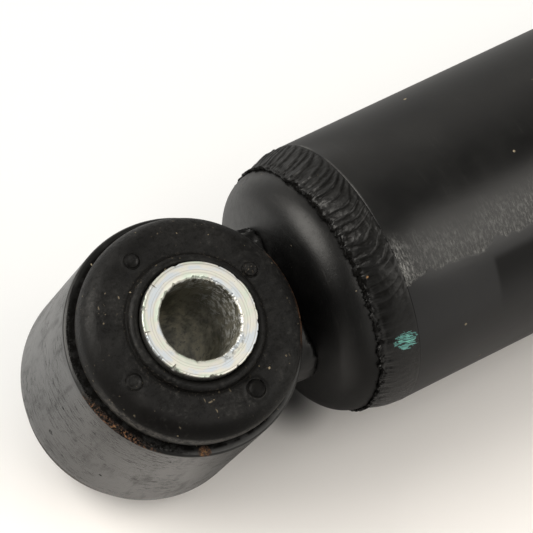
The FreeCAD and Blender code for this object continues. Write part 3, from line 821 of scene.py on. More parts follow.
@dataclass(frozen=True)
class ZincPlate(Finish):
    """Bright zinc plate on turned steel, with a dull, blotchy bore, painted shade near the bore's
    mouth and a painted highlight by its rim.
    """

    bore_r: float = 8.0
    face_z: float = 30.0
    flaked_side: float = -66.0
    glint_side: float = -20.0
    cut_sides: Tuple[float, ...] = (118.6, 168.6)

    def draw(self, sheet: NodeSheet) -> Sockets:
        """Draw the plate."""
        spot = sheet.place(self.centre)
        x, y, z = sheet.parts(spot)
        radius = x.span(y)
        deep = self.face_z - abs(z)
        face = deep.over(0.9, 0.25)
        bore = radius.over(self.bore_r + 0.35, self.bore_r + 0.08)
        drift = sheet.cloud(spot, 6, 2, 0.5)
        rings = sheet.cloud(sheet.vector(radius + 0.3 * drift), 0.42, 2, 0.7)
        wide = sheet.cloud(sheet.vector(radius, x * 0.05, y * 0.05), 0.9, 2, 0.5)
        tint = sheet.cloud(sheet.vector(radius * 0.6, x * 0.25, y * 0.25), 1.1, 2, 0.5)
        blotch = self.streaks(sheet, (1, 1, 0.45), 2.8, 4, 0.58)
        smear = self.streaks(sheet, (1, 1, 0.35), 0.9, 4, 0.66)
        nicks = sheet.cloud(sheet.vector(x, y), 0.6, 4, 0.72).over(0.665, 0.72)
        flaked = (x.toward(y, self.flaked_side) / radius).over(0.86, 0.97)
        flaked = flaked * radius.over(self.bore_r + 1.9, self.bore_r + 0.7)
        cuts = nicks.most(0.7 * flaked * smear.over(0.52, 0.58))
        for turn in self.cut_sides:
            along, aside = x.toward(y, turn), x.toward(y, turn + 90)
            cuts = cuts.most(abs(aside).over(0.14, 0.05) * along.over(10.2, 10.8))
        blue, cream = (0.645, 0.70, 0.755, 1), (0.765, 0.745, 0.68, 1)
        plate = sheet.blend(tint.over(0.34, 0.54), blue, cream)
        plate = sheet.blend(tint.over(0.48, 0.68), plate, (0.675, 0.755, 0.66, 1))
        outer = 0.35 + 0.65 * radius.over(9.4, 10.2)
        plate = sheet.blend(0.8 * rings.over(0.51, 0.62) * outer, plate, (0.34, 0.33, 0.29, 1))
        plate = sheet.blend(0.8 * cuts, plate, (0.10, 0.092, 0.075, 1))
        olive, pale = (0.19, 0.18, 0.125, 1), (0.93, 0.885, 0.72, 1)
        cast = sheet.blend(blotch.over(0.32, 0.66), olive, pale)
        cast = sheet.blend(0.6 * smear.over(0.52, 0.68), cast, (0.07, 0.067, 0.048, 1))
        # Painted shade: the bore darker within about 10 mm of its mouth, lighter deeper in.
        painted_shade_cast = sheet.blend(0.74, cast, (0.035, 0.034, 0.024, 1))
        cast = sheet.blend(deep.over(27, 10), cast, painted_shade_cast)
        # Painted highlight: a pale glint just inside the rim, reaching deeper on one side.
        right = (x.toward(y, self.glint_side) / radius).over(0.2, 0.8)
        painted_glint = deep.over(8, 4).most(right * deep.over(17, 9))
        painted_glint = painted_glint * sheet.cloud(spot, 1.1, 4, 0.7).over(0.48, 0.60)
        cast = sheet.blend(0.8 * painted_glint, cast, (0.60, 0.61, 0.60, 1))
        barrel = sheet.blend(tint, (0.50, 0.50, 0.48, 1), (0.62, 0.615, 0.58, 1))
        colour = sheet.blend(bore, sheet.blend(face, barrel, plate), cast)
        rough = 0.12 * bore + 0.25 * (blotch - 0.5) * bore + 0.3 * cuts * face
        turned = (0.02 * rings + 0.006 * wide - 0.08 * cuts) * face
        return {
            "Base Color": colour,
            "Metallic": 1.0 - 0.34 * face - 0.52 * bore,
            "Roughness": 0.38 + 0.12 * (wide - 0.5) + rough,
            "Normal": sheet.relief(turned + (0.14 * blotch + 0.05 * smear) * bore),
        }


@dataclass(frozen=True)
class TurnedMetal(Finish):
    """Bare metal with machining lines round the shock's axis."""

    colour: Colour = (0.6, 0.6, 0.6, 1)
    shade: Colour = (0.4, 0.4, 0.4, 1)
    roughness: float = 0.3
    lines: float = 0.01
    pores: float = 0.0

    def draw(self, sheet: NodeSheet) -> Sockets:
        """Draw the metal: cloudy tone, fine lines and open pores."""
        spot = sheet.place(self.centre)
        lines = self.streaks(sheet, (1, 0.03, 0.03), 0.3, 3, 0.65)
        tone = sheet.cloud(spot, 6, 3, 0.55)
        holes = sheet.cloud(spot, 0.55, 2, 0.6).over(0.56, 0.68) * self.pores
        colour = sheet.blend(tone.over(0.3, 0.7), self.shade, self.colour)
        rough = 0.12 * (tone - 0.5) + 0.1 * (lines - 0.5) + 0.3 * holes
        return {
            "Base Color": sheet.blend(0.8 * holes, colour, (0.02, 0.02, 0.019, 1)),
            "Metallic": 1.0 - 0.5 * holes,
            "Roughness": self.roughness + rough,
            "Normal": sheet.relief(self.lines * lines - 0.08 * holes),
        }


@dataclass(frozen=True)
class Moulded(Finish):
    """Moulded rubber or plastic inside the shock, wet with oil."""

    colour: Colour = (0.02, 0.02, 0.02, 1)
    shade: Colour = (0.012, 0.012, 0.012, 1)
    roughness: float = 0.4

    def draw(self, sheet: NodeSheet) -> Sockets:
        """Draw the moulding: fine grain under a patchy oil film."""
        spot = sheet.place(self.centre)
        grain = sheet.cloud(spot, 0.35, 3, 0.6)
        film = sheet.cloud(spot, 7, 3, 0.55)
        return {
            "Base Color": sheet.blend(film.over(0.35, 0.65), self.shade, self.colour),
            "Roughness": self.roughness - 0.16 * film.over(0.4, 0.6) + 0.1 * (grain - 0.5),
            "Normal": sheet.relief(0.015 * grain),
        }


def added(name: str, data: bpy.types.ID) -> Piece:
    """Add an object with its data to the scene."""
    made = bpy.data.objects.new(name, data)
    bpy.context.scene.collection.objects.link(made)
    return made


def pick(piece: Piece) -> Piece:
    """Select one piece alone and make it active."""
    bpy.ops.object.select_all(action="DESELECT")
    piece.select_set(True)
    bpy.context.view_layer.objects.active = piece
    return piece


def keep_place() -> None:
    """Put the active piece's place into its mesh."""
    bpy.ops.object.transform_apply(location=True, rotation=True, scale=True)


class Lathe:
    """Turned meshes, spun from an outline with the modelling operators."""

    @staticmethod
    def rounded(corners: Sequence[Triple], parts: int = 6) -> List[Point]:
        """Round the corners of a closed outline.

        Args:
            corners: Place along the axis, radius, and rounding of each corner.
            parts: Steps in each rounding.

        Returns:
            Points of the outline.
        """
        points: List[Point] = []
        count = len(corners)
        for index, (along, radius, rounding) in enumerate(corners):
            here = Vector((along, radius))
            if rounding <= 0:
                points.append((along, radius))
                continue
            before = (Vector(corners[index - 1][:2]) - here).normalized()
            after = (Vector(corners[(index + 1) % count][:2]) - here).normalized()
            half = before.angle(after) / 2
            reach = rounding / math.tan(half)
            middle = here + (before + after).normalized() * rounding / math.sin(half)
            start = here + before * reach - middle
            sweep = start.angle_signed(here + after * reach - middle)
            for step in range(parts + 1):
                turned = Matrix.Rotation(-sweep * step / parts, 2) @ start
                points.append(tuple(middle + turned))
        return points

    @staticmethod
    def arc(centre: Point, radius: float, start: float, end: float, parts: int) -> List[Point]:
        """Points on an arc.

        Args:
            centre: Place along the axis and radius of the arc's centre.
            radius: Radius of the arc.
            start: First angle in degrees, 0 along the axis and 90 outwards.
            end: Last angle.
            parts: Number of steps.

        Returns:
            The points, both ends among them.
        """
        turns = [start + (end - start) * step / parts for step in range(parts + 1)]
        spots = [polar(radius, turn) for turn in turns]
        return [(centre[0] + along, centre[1] + out) for along, out in spots]

    @staticmethod
    def filled(points: Sequence[Point], spacing: float) -> List[Point]:
        """Add points to the long runs of a closed outline, up to a longest step."""
        filled: List[Point] = []
        for start, end in zip(points, list(points[1:]) + [points[0]]):
            steps = max(1, math.ceil(math.dist(start, end) / spacing))
            for step in range(steps):
                filled.append(tuple(a + (b - a) * step / steps for a, b in zip(start, end)))
        return filled

    @staticmethod
    def spin(
        name: str, points: Sequence[Point], axis: Axis, steps: int, closed: bool = True
    ) -> Piece:
        """Spin an outline into a mesh.

        Args:
            name: Name of the piece.
            points: Outline, as places along the axis and radii.
            axis: Direction of the axis through the origin.
            steps: Number of faces round the piece, a multiple of the sectors.
            closed: Whether the last point joins the first; an open outline ends on the axis.

        Returns:
            The new piece.
        """
        way, side = Vector(axis.value), Vector((0, 1, 0))
        spots = [(way * along + side * radius) * MM for along, radius in points]
        if closed:
            spots.append(spots[0])
        bpy.ops.object.select_all(action="DESELECT")
        bpy.ops.mesh.primitive_plane_add(size=MM, location=spots[0])
        piece = bpy.context.active_object
        keep_place()
        bpy.ops.object.mode_set(mode="EDIT")
        bpy.ops.mesh.select_all(action="SELECT")
        bpy.ops.mesh.merge(type="CENTER")
        for start, end in zip(spots, spots[1:]):
            bpy.ops.mesh.extrude_vertices_move(TRANSFORM_OT_translate={"value": end - start})
        bpy.ops.mesh.select_all(action="SELECT")
        bpy.ops.mesh.remove_doubles(threshold=MERGE)
        sector = math.tau / SECTORS
        bpy.ops.mesh.spin(steps=steps // SECTORS, angle=sector, center=(0, 0, 0), axis=way)
        for doubling in range(int(math.log2(SECTORS))):
            bpy.ops.mesh.select_all(action="SELECT")
            bpy.ops.mesh.duplicate()
            bpy.ops.transform.rotate(
                value=sector * 2**doubling, orient_axis=axis.letter, center_override=(0, 0, 0)
            )
        bpy.ops.mesh.select_all(action="SELECT")
        bpy.ops.mesh.remove_doubles(threshold=MERGE)
        bpy.ops.mesh.normals_make_consistent(inside=False)
        bpy.ops.object.mode_set(mode="OBJECT")
        piece.name = piece.data.name = name
        return piece

    @staticmethod
    def smooth(piece: Piece, angle: float) -> Piece:
        """Shade a piece smoothly, but for edges sharper than an angle in degrees."""
        pick(piece)
        bpy.ops.object.shade_smooth_by_angle(angle=math.radians(angle))
        return piece

    @staticmethod
    def shift(piece: Piece, rule: Callable[[Vector], Vector]) -> None:
        """Move every vertex by a rule from its old place to its new one, in millimetres."""
        for vertex in piece.data.vertices:
            vertex.co = rule(vertex.co / MM) * MM
        piece.data.update()

    @staticmethod
    def twin(piece: Piece, name: str, move: Matrix) -> Piece:
        """Copy a piece with a mesh of its own.

        Args:
            piece: Piece to copy, not yet riding on a body.
            name: Name of the copy.
            move: Where the copy goes.

        Returns:
            The copy, with its place in its mesh.
        """
        pick(piece)
        bpy.ops.object.duplicate(linked=False)
        copy = bpy.context.active_object
        copy.matrix_world = move
        keep_place()
        copy.name = copy.data.name = name
        return copy


def dress(piece: Piece, material: bpy.types.Material) -> None:
    """Give a piece one material."""
    piece.data.materials.clear()
    piece.data.materials.append(material)


def settle(piece: Piece, node: str, finish: Finish) -> None:
    """Dress a finished piece and put it in the place of its CAD node.

    Args:
        piece: Finished piece.
        node: CAD node that it stands for.
        finish: Finish of the piece.
    """
    dress(piece, finish.material())
    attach(piece, frame["nodes"][node]["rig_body"])
    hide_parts(node)
    subparts = frame["record"]["subparts"]
    next(part["material_slot"] for part in subparts if part["node"] == node)
    log.info("%s stands for %s, %d faces", piece.name, node, len(piece.data.polygons))


def copied(node: str, name: str) -> Piece:
    """Copy a CAD node's mesh under a new name, active, with its loose faces merged."""
    copy = pick(added(name, frame["nodes"][node].data.copy()))
    bpy.ops.object.mode_set(mode="EDIT")
    bpy.ops.mesh.select_all(action="SELECT")
    bpy.ops.mesh.remove_doubles(threshold=LOOSE)
    bpy.ops.object.mode_set(mode="OBJECT")
    return copy


@dataclass
class DishedCap:
    """Pressed cap with a knuckle and a shallow crown."""

    name: str
    node: str
    rim_x: float
    facing: int
    skirt_r: float
    wall: float
    skirt: float
    knuckle: float = CAD_KNUCKLE
    crown: float = CAD_CROWN
    edge: float = 0.4

    @property
    def circle(self) -> float:
        """Radius of the circle that the knuckle's centre runs on."""
        return self.skirt_r - self.wall - self.knuckle

    @property
    def crown_x(self) -> float:
        """Distance from the rim to the crown's centre."""
        return math.sqrt((self.crown - self.knuckle) ** 2 - self.circle**2)

    def face(self, offset: float) -> List[Point]:
        """Crown and knuckle, from the axis to the skirt, at an offset from the inside."""
        join = math.degrees(math.asin(self.circle / (self.crown - self.knuckle)))
        crown = Lathe.arc((self.crown_x, 0), self.crown + offset, 180, 180 - join, CROWN_PARTS)
        bend = self.knuckle + offset
        knuckle = Lathe.arc((0, self.circle), bend, 180 - join, 90, KNUCKLE_PARTS)
        return crown + knuckle[1:]

    def outline(self) -> List[Point]:
        """Outline from the crown's outside round the skirt to its inside."""
        end, edge, inner_r = self.skirt - self.edge, self.edge, self.skirt_r - self.wall
        skirt = [(self.skirt * part, self.skirt_r) for part in (0.25, 0.5, 0.75)]
        skirt += Lathe.arc((end, self.skirt_r - edge), edge, 90, 0, EDGE_PARTS)
        skirt += Lathe.arc((end, inner_r + edge), edge, 0, -90, EDGE_PARTS)
        outline = self.face(self.wall) + skirt + list(reversed(self.face(0.0)))
        return [(self.rim_x + self.facing * along, max(out, 0.0)) for along, out in outline]

    def rise(self, radius: float) -> float:
        """Height of the outside over the rim, at a radius."""
        if radius * (self.crown - self.knuckle) <= self.circle * (self.crown + self.wall):
            return math.sqrt((self.crown + self.wall) ** 2 - radius**2) - self.crown_x
        left = (self.knuckle + self.wall) ** 2 - (radius - self.circle) ** 2
        return math.sqrt(max(0.0, left))

    def build(self) -> Piece:
        """Spin the cap."""
        cap = Lathe.spin(self.name, self.outline(), Axis.SHOCK, RING_STEPS, closed=False)
        return Lathe.smooth(cap, 50)


@dataclass
class RubberEye:
    """Eye ring, moulded bush, bolt sleeve and the weld that joins the ring to its cap."""

    end: str
    centre_x: float
    cap: DishedCap
    turn: float = 0.0
    ring_r: float = 24.0
    ring_inner_r: float = 20.5
    ring_half: float = 18.0
    bore_r: float = 8.0
    sleeve_r: float = 11.5
    sleeve_half: float = 30.0
    plug_r: float = 20.48
    flange_r: float = 22.4
    collar_r: float = 12.6
    collar_half_width: float = 1.05
    collar_level: float = 27.2
    foot_round: float = 0.45
    face_level: float = 26.5
    face_start_r: float = 14.3
    face_step: float = 0.2
    shoulder_radius: float = 5.3
    shoulder_power: float = 2.5
    knocked_side: float = -150.0
    weld_half_width: float = 18.5
    weld_half_length: float = 13.0
    weld_narrow: float = 0.93
    weld_low: float = 0.96
    weld_grid: float = 0.42
    weld_least: float = 0.3
    weld_raise: float = 0.2
    weld_lumps: float = 1.7

    def ring(self) -> Piece:
        """Spin the steel ring with rolled-over rims."""
        corners = [
            (-self.ring_half, self.ring_inner_r, 0.3),
            (-self.ring_half, self.ring_r, 0.6),
            (self.ring_half, self.ring_r, 0.6),
            (self.ring_half, self.ring_inner_r, 0.3),
        ]
        points = Lathe.filled(Lathe.rounded(corners), 2.0)
        ring = Lathe.spin(f"{self.end}_eye_ring_painted", points, Axis.BORE, RING_STEPS)

        def dent(spot: Vector) -> Vector:
            """Slight waviness of the rolled rim."""
            rim = ease(self.ring_half - 1.2, self.ring_half, abs(spot.z))
            uneven = abs(wave(spot, 0.35) * 0.10 + wave(spot, 1.1) * 0.04) - 0.06
            return spot + Vector((0, 0, uneven * rim * math.copysign(1, spot.z)))

        Lathe.shift(ring, dent)
        return Lathe.smooth(ring, 60)

    def bush_outline(self) -> List[Point]:
        """Outline of the bush, alike on both faces of the ring."""
        level, bend, round_r = self.face_level, self.shoulder_radius, self.foot_round
        widest, face_r = level - bend, self.flange_r - bend
        collar = Lathe.arc((self.collar_level, self.collar_r), self.collar_half_width, -90, 90, 12)
        foot_r = self.collar_r + self.collar_half_width + round_r
        foot = Lathe.arc((level + round_r, foot_r), round_r, -90, -180, 4)
        rows = int((face_r - self.face_start_r) / self.face_step) + 1
        face = [(level, self.face_start_r + self.face_step * row) for row in range(rows)]
        bow = 2 / self.shoulder_power
        turns = [math.pi / 2 * step / 30 for step in range(1, 31)]
        shoulder = [
            (widest + bend * math.cos(turn) ** bow, face_r + bend * math.sin(turn) ** bow)
            for turn in turns
        ]
        tuck = ((1.2, 22.25), (2.0, 21.75), (2.5, 21.1), (2.7, self.plug_r))
        under = [(widest - drop, radius) for drop, radius in tuck]
        half = collar + foot + face + shoulder + under
        return half + [(-along, radius) for along, radius in reversed(half)]

    def mould(self, spot: Vector) -> Vector:
        """Raise the round moulding marks on both faces."""
        if abs(spot.z) < self.face_level - 1.2:
            return spot
        change = sum(mark.change(spot) for mark in MARKS)
        return spot + Vector((0, 0, math.copysign(change, spot.z)))

    def bush(self) -> Piece:
        """Spin the rubber bush and mould its marks."""
        points = Lathe.filled(self.bush_outline(), 4.5)
        bush = Lathe.spin(f"{self.end}_bush_moulded", points, Axis.BORE, BUSH_STEPS)
        Lathe.shift(bush, self.mould)

        def sag(spot: Vector) -> Vector:
            """Uneven swell of the rubber."""
            swell = wave(spot, 0.12, (5, 1, 0)) * 0.18 + wave(spot, 0.5) * 0.05
            free = ease(19.0, 22.0, abs(spot.z)) * ease(13.0, 14.0, math.hypot(spot.x, spot.y))
            return spot + Vector((0, 0, math.copysign(swell * free, spot.z)))

        Lathe.shift(bush, sag)
        return Lathe.smooth(bush, 70)

    def sleeve(self) -> Piece:
        """Spin the bolt sleeve, with burrs and nicks on its end edges."""
        half, bore, outer = self.sleeve_half, self.bore_r, self.sleeve_r
        rim = [(half, bore + 0.4, 0.06), (half - 0.5, bore, 0.12)]
        top = [(half - 0.12, outer, 0.04), (half, outer - 0.12, 0.04)]
        corners = top + rim
        corners += [(-along, radius, edge) for along, radius, edge in reversed(corners)]
        points = Lathe.filled(Lathe.rounded(corners, 3), 0.9)
        sleeve = Lathe.spin(f"{self.end}_sleeve_turned", points, Axis.BORE, SLEEVE_STEPS)
        knocked = Vector((*polar(1.0, self.knocked_side), 0))

        def burr(spot: Vector) -> Vector:
            """Ragged edges of the cut ends."""
            radius = math.hypot(spot.x, spot.y)
            end = ease(half - 1.0, half - 0.3, abs(spot.z))
            way = Vector((spot.x, spot.y, 0)) / radius
            side = (0, 0, math.copysign(3, spot.z))
            rough = wave(way, 8, side) + 0.6 * wave(way, 23, side)
            outside = ease(outer - 0.4, outer - 0.12, radius) * end
            inside = ease(bore + 0.7, bore + 0.4, radius) * end
            nick = max(0.0, rough - 0.02) * (0.3 + 0.7 * ease(-0.1, 0.7, way.dot(knocked)))
            return spot + way * (0.5 * max(0.0, -rough) * inside - 1.1 * nick * outside)

        Lathe.shift(sleeve, burr)
        return Lathe.smooth(sleeve, 30)

    def weld(self) -> Piece:
        """Rework a copy of the fillet weld into a lumpy bead."""
        weld = copied(f"{self.end}_eye_weld", f"{self.end}_eye_weld_lumpy")
        remesh = weld.modifiers.new("even", "REMESH")
        remesh.mode = "VOXEL"
        remesh.voxel_size = self.weld_grid * MM
        bpy.ops.object.modifier_apply(modifier=remesh.name)
        Lathe.shift(weld, self.seat)
        normals = [vertex.normal.copy() for vertex in weld.data.vertices]
        for vertex, normal in zip(weld.data.vertices, normals):
            spot = vertex.co / MM - Vector((self.centre_x, 0, 0))
            lumps = wave(spot, 0.4, (3, 0, 0)) + 0.35 * wave(spot, 0.8)
            swell = 0.2 + 1.0 * ease(-4, 9, spot.y)
            vertex.co += normal * (self.weld_raise + self.weld_lumps * swell * lumps) * MM
        weld.data.update()
        soften = weld.modifiers.new("soften", "SMOOTH")
        soften.iterations = 10
        bpy.ops.object.modifier_apply(modifier=soften.name)
        return Lathe.smooth(weld, 80)

    def seat(self, spot: Vector) -> Vector:
        """Square off the weld's footprint and keep it seated on the ring and the cap.

        Args:
            spot: Place of a vertex.

        Returns:
            Its new place.
        """
        plain = replace(self.cap, knuckle=CAD_KNUCKLE, crown=CAD_CROWN)
        rim = abs(self.cap.rim_x - self.centre_x)
        way = math.copysign(1.0, self.cap.rim_x - self.centre_x)
        wide, tall = spot.y / self.weld_half_width, spot.z / self.weld_half_length
        power = 2.4 + 2.2 * ease(0, 8, spot.y)
        squared = (abs(wide) ** power + abs(tall) ** power) ** (1 / power)
        stretch = math.hypot(wide, tall) / max(1e-6, squared)

        def room(y: float, z: float, cap: DishedCap) -> Point:
            """Where the ring ends, from the eye's centre, and how far on the cap starts."""
            start = math.sqrt(max(1.0, self.ring_r**2 - y * y))
            return start, max(self.weld_least, rim - cap.rise(math.hypot(y, z)) - start)

        start, reach = room(spot.y, spot.z, plain)
        part = (way * (spot.x - self.centre_x) - start) / reach
        y, z = spot.y * stretch * self.weld_narrow, spot.z * stretch * self.weld_low
        start, reach = room(y, z, self.cap)
        return Vector((self.centre_x + way * (start + part * reach), y, z))

    def dress(self, pieces: Dict[str, Piece]) -> None:
        """Dress the pieces, by the second half of their node's name, and put them in place."""
        centre = (self.centre_x, 0, 0)
        finishes = {
            "eye_ring": RingPaint(f"{self.end}_ring_paint", centre, Axis.BORE, 0.34),
            "bush": BushRubber(f"{self.end}_bush_rubber", centre, self.turn),
            "sleeve": ZincPlate(f"{self.end}_zinc_plate", centre),
            "eye_weld": BlackPaint(f"{self.end}_eye_weld_paint", gloss=0.42),
        }
        for part, piece in pieces.items():
            settle(piece, f"{self.end}_{part}", finishes[part])

    def build(self) -> Dict[str, Piece]:
        """Model the eye at the origin.

        Returns:
            Pieces by the second half of their node's name.
        """
        turned = {"eye_ring": self.ring(), "bush": self.bush(), "sleeve": self.sleeve()}
        return {**turned, "eye_weld": self.weld()}

    def build_twin(self, pieces: Dict[str, Piece]) -> Dict[str, Piece]:
        """Copy another eye's turned pieces and make this eye's own weld.

        Args:
            pieces: The other eye's pieces, at the origin.

        Returns:
            This eye's pieces.
        """
        turned = Matrix.Rotation(math.radians(self.turn), 4, "Z")
        move = Matrix.Translation(Vector((self.centre_x, 0, 0)) * MM) @ turned
        copies = {
            part: Lathe.twin(piece, piece.name.replace("lower", self.end), move)
            for part, piece in pieces.items()
            if part != "eye_weld"
        }
        return {**copies, "eye_weld": self.weld()}


@dataclass
class WeldBead:
    """Ring of weld that closes a cap on a tube, with scale ripples and a ragged toe."""

    name: str
    node: str
    toe_x: float
    edge_x: float
    toe_r: float
    edge_r: float
    bulge: float
    pitch: float = 2.15
    height: float = 0.43
    lip: float = 0.85
    sink: float = 0.7
    step: float = 0.35
    calm_side: float = -80.0
    flush_side: float = -100.0
    bend: float = 3.2
    ragged: float = 0.75
    flush: float = 0.14
    rows: int = 38
    seed: float = 0.0

    @property
    def way(self) -> float:
        """Direction from the toe to the tube, 1 or -1 along the shock."""
        return math.copysign(1.0, self.edge_x - self.toe_x)

    def crest(self, across: float) -> Point:
        """Place and radius of the bare bead, from its toe at 0 to its tube edge at 1."""
        rise = 4 * self.bulge * across * (1 - across)
        lift = 0.3 * self.bulge * ease(0.16, 0.03, across)
        return (
            self.toe_x + (self.edge_x - self.toe_x) * across,
            self.toe_r + (self.edge_r - self.toe_r) * across + rise + lift,
        )

    def outline(self) -> List[Point]:
        """Outline with an overhanging lip at the toe and a small step at the tube."""
        toe_x, toe_r, lip, way = self.toe_x, self.toe_r, self.lip, self.way
        under = [
            (self.edge_x, toe_r - self.sink),
            (toe_x + way * 0.9, toe_r - self.sink),
            (toe_x - way * 0.1 * lip, toe_r - self.step),
            (toe_x - way * 0.75 * lip, toe_r + 0.02),
            (toe_x - way * lip, toe_r + 0.4 * lip),
            (toe_x - way * 0.7 * lip, toe_r + 0.75 * lip),
        ]
        top = [self.crest(row / self.rows) for row in range(self.rows + 1)]
        return under + top + [(self.edge_x + way * 0.03, self.edge_r - self.step)]

    def calm(self, turn: float) -> float:
        """How smooth the bead is at an angle round the tube, from 0 to 1."""
        return ease(0.2, 0.75, math.cos(turn - math.radians(self.calm_side)))

    def ripple(self, across: float, turn: float) -> float:
        """Height of the scales.

        Args:
            across: Place across the bead, from its toe at 0 to its tube edge at 1.
            turn: Angle round the tube, from +Z towards +Y.

        Returns:
            Height over the bare bead.
        """
        wheel, seed = Vector((math.cos(turn), math.sin(turn), 0)), self.seed
        count = round(math.tau * self.edge_r / self.pitch)
        drift = 1.1 * wave(wheel, 4, (0, 0, seed))
        drift += 0.28 * wave(wheel, 15, (0, 0, seed + across * 1.5))
        curve = self.bend * (abs(across - 0.34) ** 2.2) * 2.4 / self.pitch
        phase = count * turn / math.tau + drift - curve
        part = phase - math.floor(phase)
        scale = ease(0.0, 0.22, part) * (1 - part) ** 1.1
        strength = min(1.25, max(0.12, 0.72 + 0.75 * wave(wheel, 6, (4, 2, seed))))
        calm = self.calm(turn)
        strength *= 1 - 0.9 * calm
        fade = ease(0.0, 0.14, across) * ease(1.0, 0.93, across)
        lumps = 0.11 * wave(wheel, 20, (1, 7, across * 3 + seed))
        fine = 0.07 * wave(wheel, 64, (2, 3, across * 9 + seed))
        fine += 0.04 * wave(wheel, 140, (6, 1, across * 20 + seed))
        rough = (lumps + fine) * 2 * (1 - 0.65 * calm)
        return self.height * ((scale - 0.3) * strength + rough) * fade

    def moved(self, spot: Vector) -> Vector:
        """Place of a vertex on the rippled bead."""
        radius, turn = math.hypot(spot.y, spot.z), math.atan2(spot.y, spot.z)
        across = (spot.x - self.toe_x) / (self.edge_x - self.toe_x)
        wheel = Vector((math.cos(turn), math.sin(turn), 0))
        shown = ease(self.toe_r - 0.4, self.toe_r, radius)
        wander = wave(wheel, 13, (9, 0, self.seed)) + 0.7 * wave(wheel, 37)
        wander += 0.4 * wave(wheel, 90)
        ragged = self.ragged * (1 + 0.15 * self.calm(turn))
        along = spot.x - self.way * ragged * wander * ease(0.42, 0.0, across) * shown
        lift = wave(wheel, 22, (0, 5, self.seed)) + 0.7 * wave(wheel, 71, spot * 0.3)
        lift *= 0.35 * self.bulge * ease(0.3, 0.02, across) * ease(-0.02, 0.03, across)
        radius += shown * (self.ripple(min(1.0, max(0.0, across)), turn) + lift)
        flush = ease(-0.92, -0.62, math.cos(turn - math.radians(self.flush_side)))
        radius += self.flush * flush * ease(0.84, 1.0, across) * shown
        return Vector((along, radius * math.sin(turn), radius * math.cos(turn)))

    def build(self) -> Piece:
        """Spin the bead and ripple it."""
        bead = Lathe.spin(self.name, self.outline(), Axis.SHOCK, BEAD_STEPS)
        Lathe.shift(bead, self.moved)
        return Lathe.smooth(bead, 75)


@dataclass
class ReservoirEnd:
    """Base cap, its weld bead and the reservoir tube."""

    rim_x: float = 35.17
    tube_x: float = 42.77
    washer_x: float = 325.10
    end_x: float = 329.10
    tube_r: float = 28.0
    tube_inner_r: float = 26.0
    lip_r: float = 21.0
    roll: float = 2.0

    def tube(self) -> Piece:
        """Spin the tube, its upper edge rolled in."""
        wall = self.tube_r - self.tube_inner_r
        bend = (self.washer_x, self.tube_inner_r - self.roll)
        points = [
            (self.tube_x, self.tube_inner_r),
            (self.tube_x, self.tube_r - 0.16),
            (self.tube_x + 0.06, self.tube_r - 0.05),
            (self.tube_x + 0.18, self.tube_r),
        ]
        points += Lathe.arc(bend, self.roll + wall, 90, 0, 14)
        points += [(self.end_x, self.lip_r), (self.end_x - wall, self.lip_r)]
        points += Lathe.arc(bend, self.roll, 0, 90, 8)
        points = Lathe.filled(points, TUBE_SPACING)
        tube = Lathe.spin("reservoir_tube_painted", points, Axis.SHOCK, TUBE_STEPS)
        return Lathe.smooth(tube, 50)

    def cap(self) -> DishedCap:
        """The base cap, its dish a little rounder than the CAD dish."""
        return DishedCap(
            "base_cap_pressed",
            "base_cap",
            self.rim_x,
            1,
            self.tube_inner_r - SEAT_GAP,
            3.0,
            20.0,
            knuckle=4.0,
            crown=70.0,
        )

    def build(self) -> None:
        """Model and dress the lower closed end and its tube."""
        cap = self.cap()
        ends = (self.rim_x, self.tube_x, cap.skirt_r, self.tube_r - 0.10)
        bead = WeldBead("base_weld_rippled", "base_weld", *ends, 0.62)
        dots = ((36.3, -13.5, 0.34), (33.9, -18.9, 0.3))
        cap_paint = CapPaint("base_cap_paint", roughness=0.37, scuffs=0.4, gloss=0.40)
        settle(cap.build(), cap.node, cap_paint)
        bead_paint = BeadPaint("base_weld_paint", roughness=0.36, dab=True, dots=dots)
        settle(bead.build(), bead.node, bead_paint)
        settle(self.tube(), "reservoir_tube", TubePaint("reservoir_paint", scuffs=0.3))


@dataclass
class DustTubeEnd:
    """Upper cap, its weld bead and the dust tube."""

    rim_x: float = 513.10
    bead_x: float = 510.10
    start_x: float = 304.10
    inner_r: float = 29.0
    outer_r: float = 30.0
    bulge: float = 0.28

    def tube(self) -> Piece:
        """Spin the thin tube with rolled edges."""
        corners = [
            (self.start_x, self.inner_r, 0.3),
            (self.start_x, self.outer_r, 0.45),
            (self.bead_x, self.outer_r, 0.2),
            (self.bead_x, self.inner_r, 0.0),
        ]
        points = Lathe.filled(Lathe.rounded(corners), TUBE_SPACING)
        tube = Lathe.spin("dust_tube_painted", points, Axis.SHOCK, TUBE_STEPS)
        return Lathe.smooth(tube, 50)

    def cap(self) -> DishedCap:
        """The upper cap."""
        skirt_r = self.inner_r - SEAT_GAP
        return DishedCap("upper_cap_pressed", "upper_cap", self.rim_x, -1, skirt_r, 2.5, 8.0)

    def build(self) -> None:
        """Model and dress the upper closed end and its tube."""
        cap = self.cap()
        ends = {
            "toe_x": self.rim_x,
            "edge_x": self.bead_x,
            "toe_r": cap.skirt_r,
            "edge_r": self.outer_r - 0.06,
            "bulge": self.bulge,
        }
        bead = WeldBead(
            "dust_tube_weld_rippled",
            "dust_tube_weld",
            **ends,
            pitch=1.5,
            height=0.2,
            lip=0.4,
            bend=1.4,
            ragged=0.25,
            flush=0.05,
            rows=18,
            seed=3.0,
        )
        cap_paint = CapPaint(
            "upper_cap_paint", roughness=0.29, scuffs=0.4, gloss=0.36, toe_x=self.rim_x, facing=-1
        )
        settle(cap.build(), cap.node, cap_paint)
        bead_paint = BeadPaint("dust_tube_weld_paint", roughness=0.36, **ends, deep=0.06)
        settle(bead.build(), bead.node, bead_paint)
        settle(self.tube(), "dust_tube", BlackPaint("dust_tube_paint"))


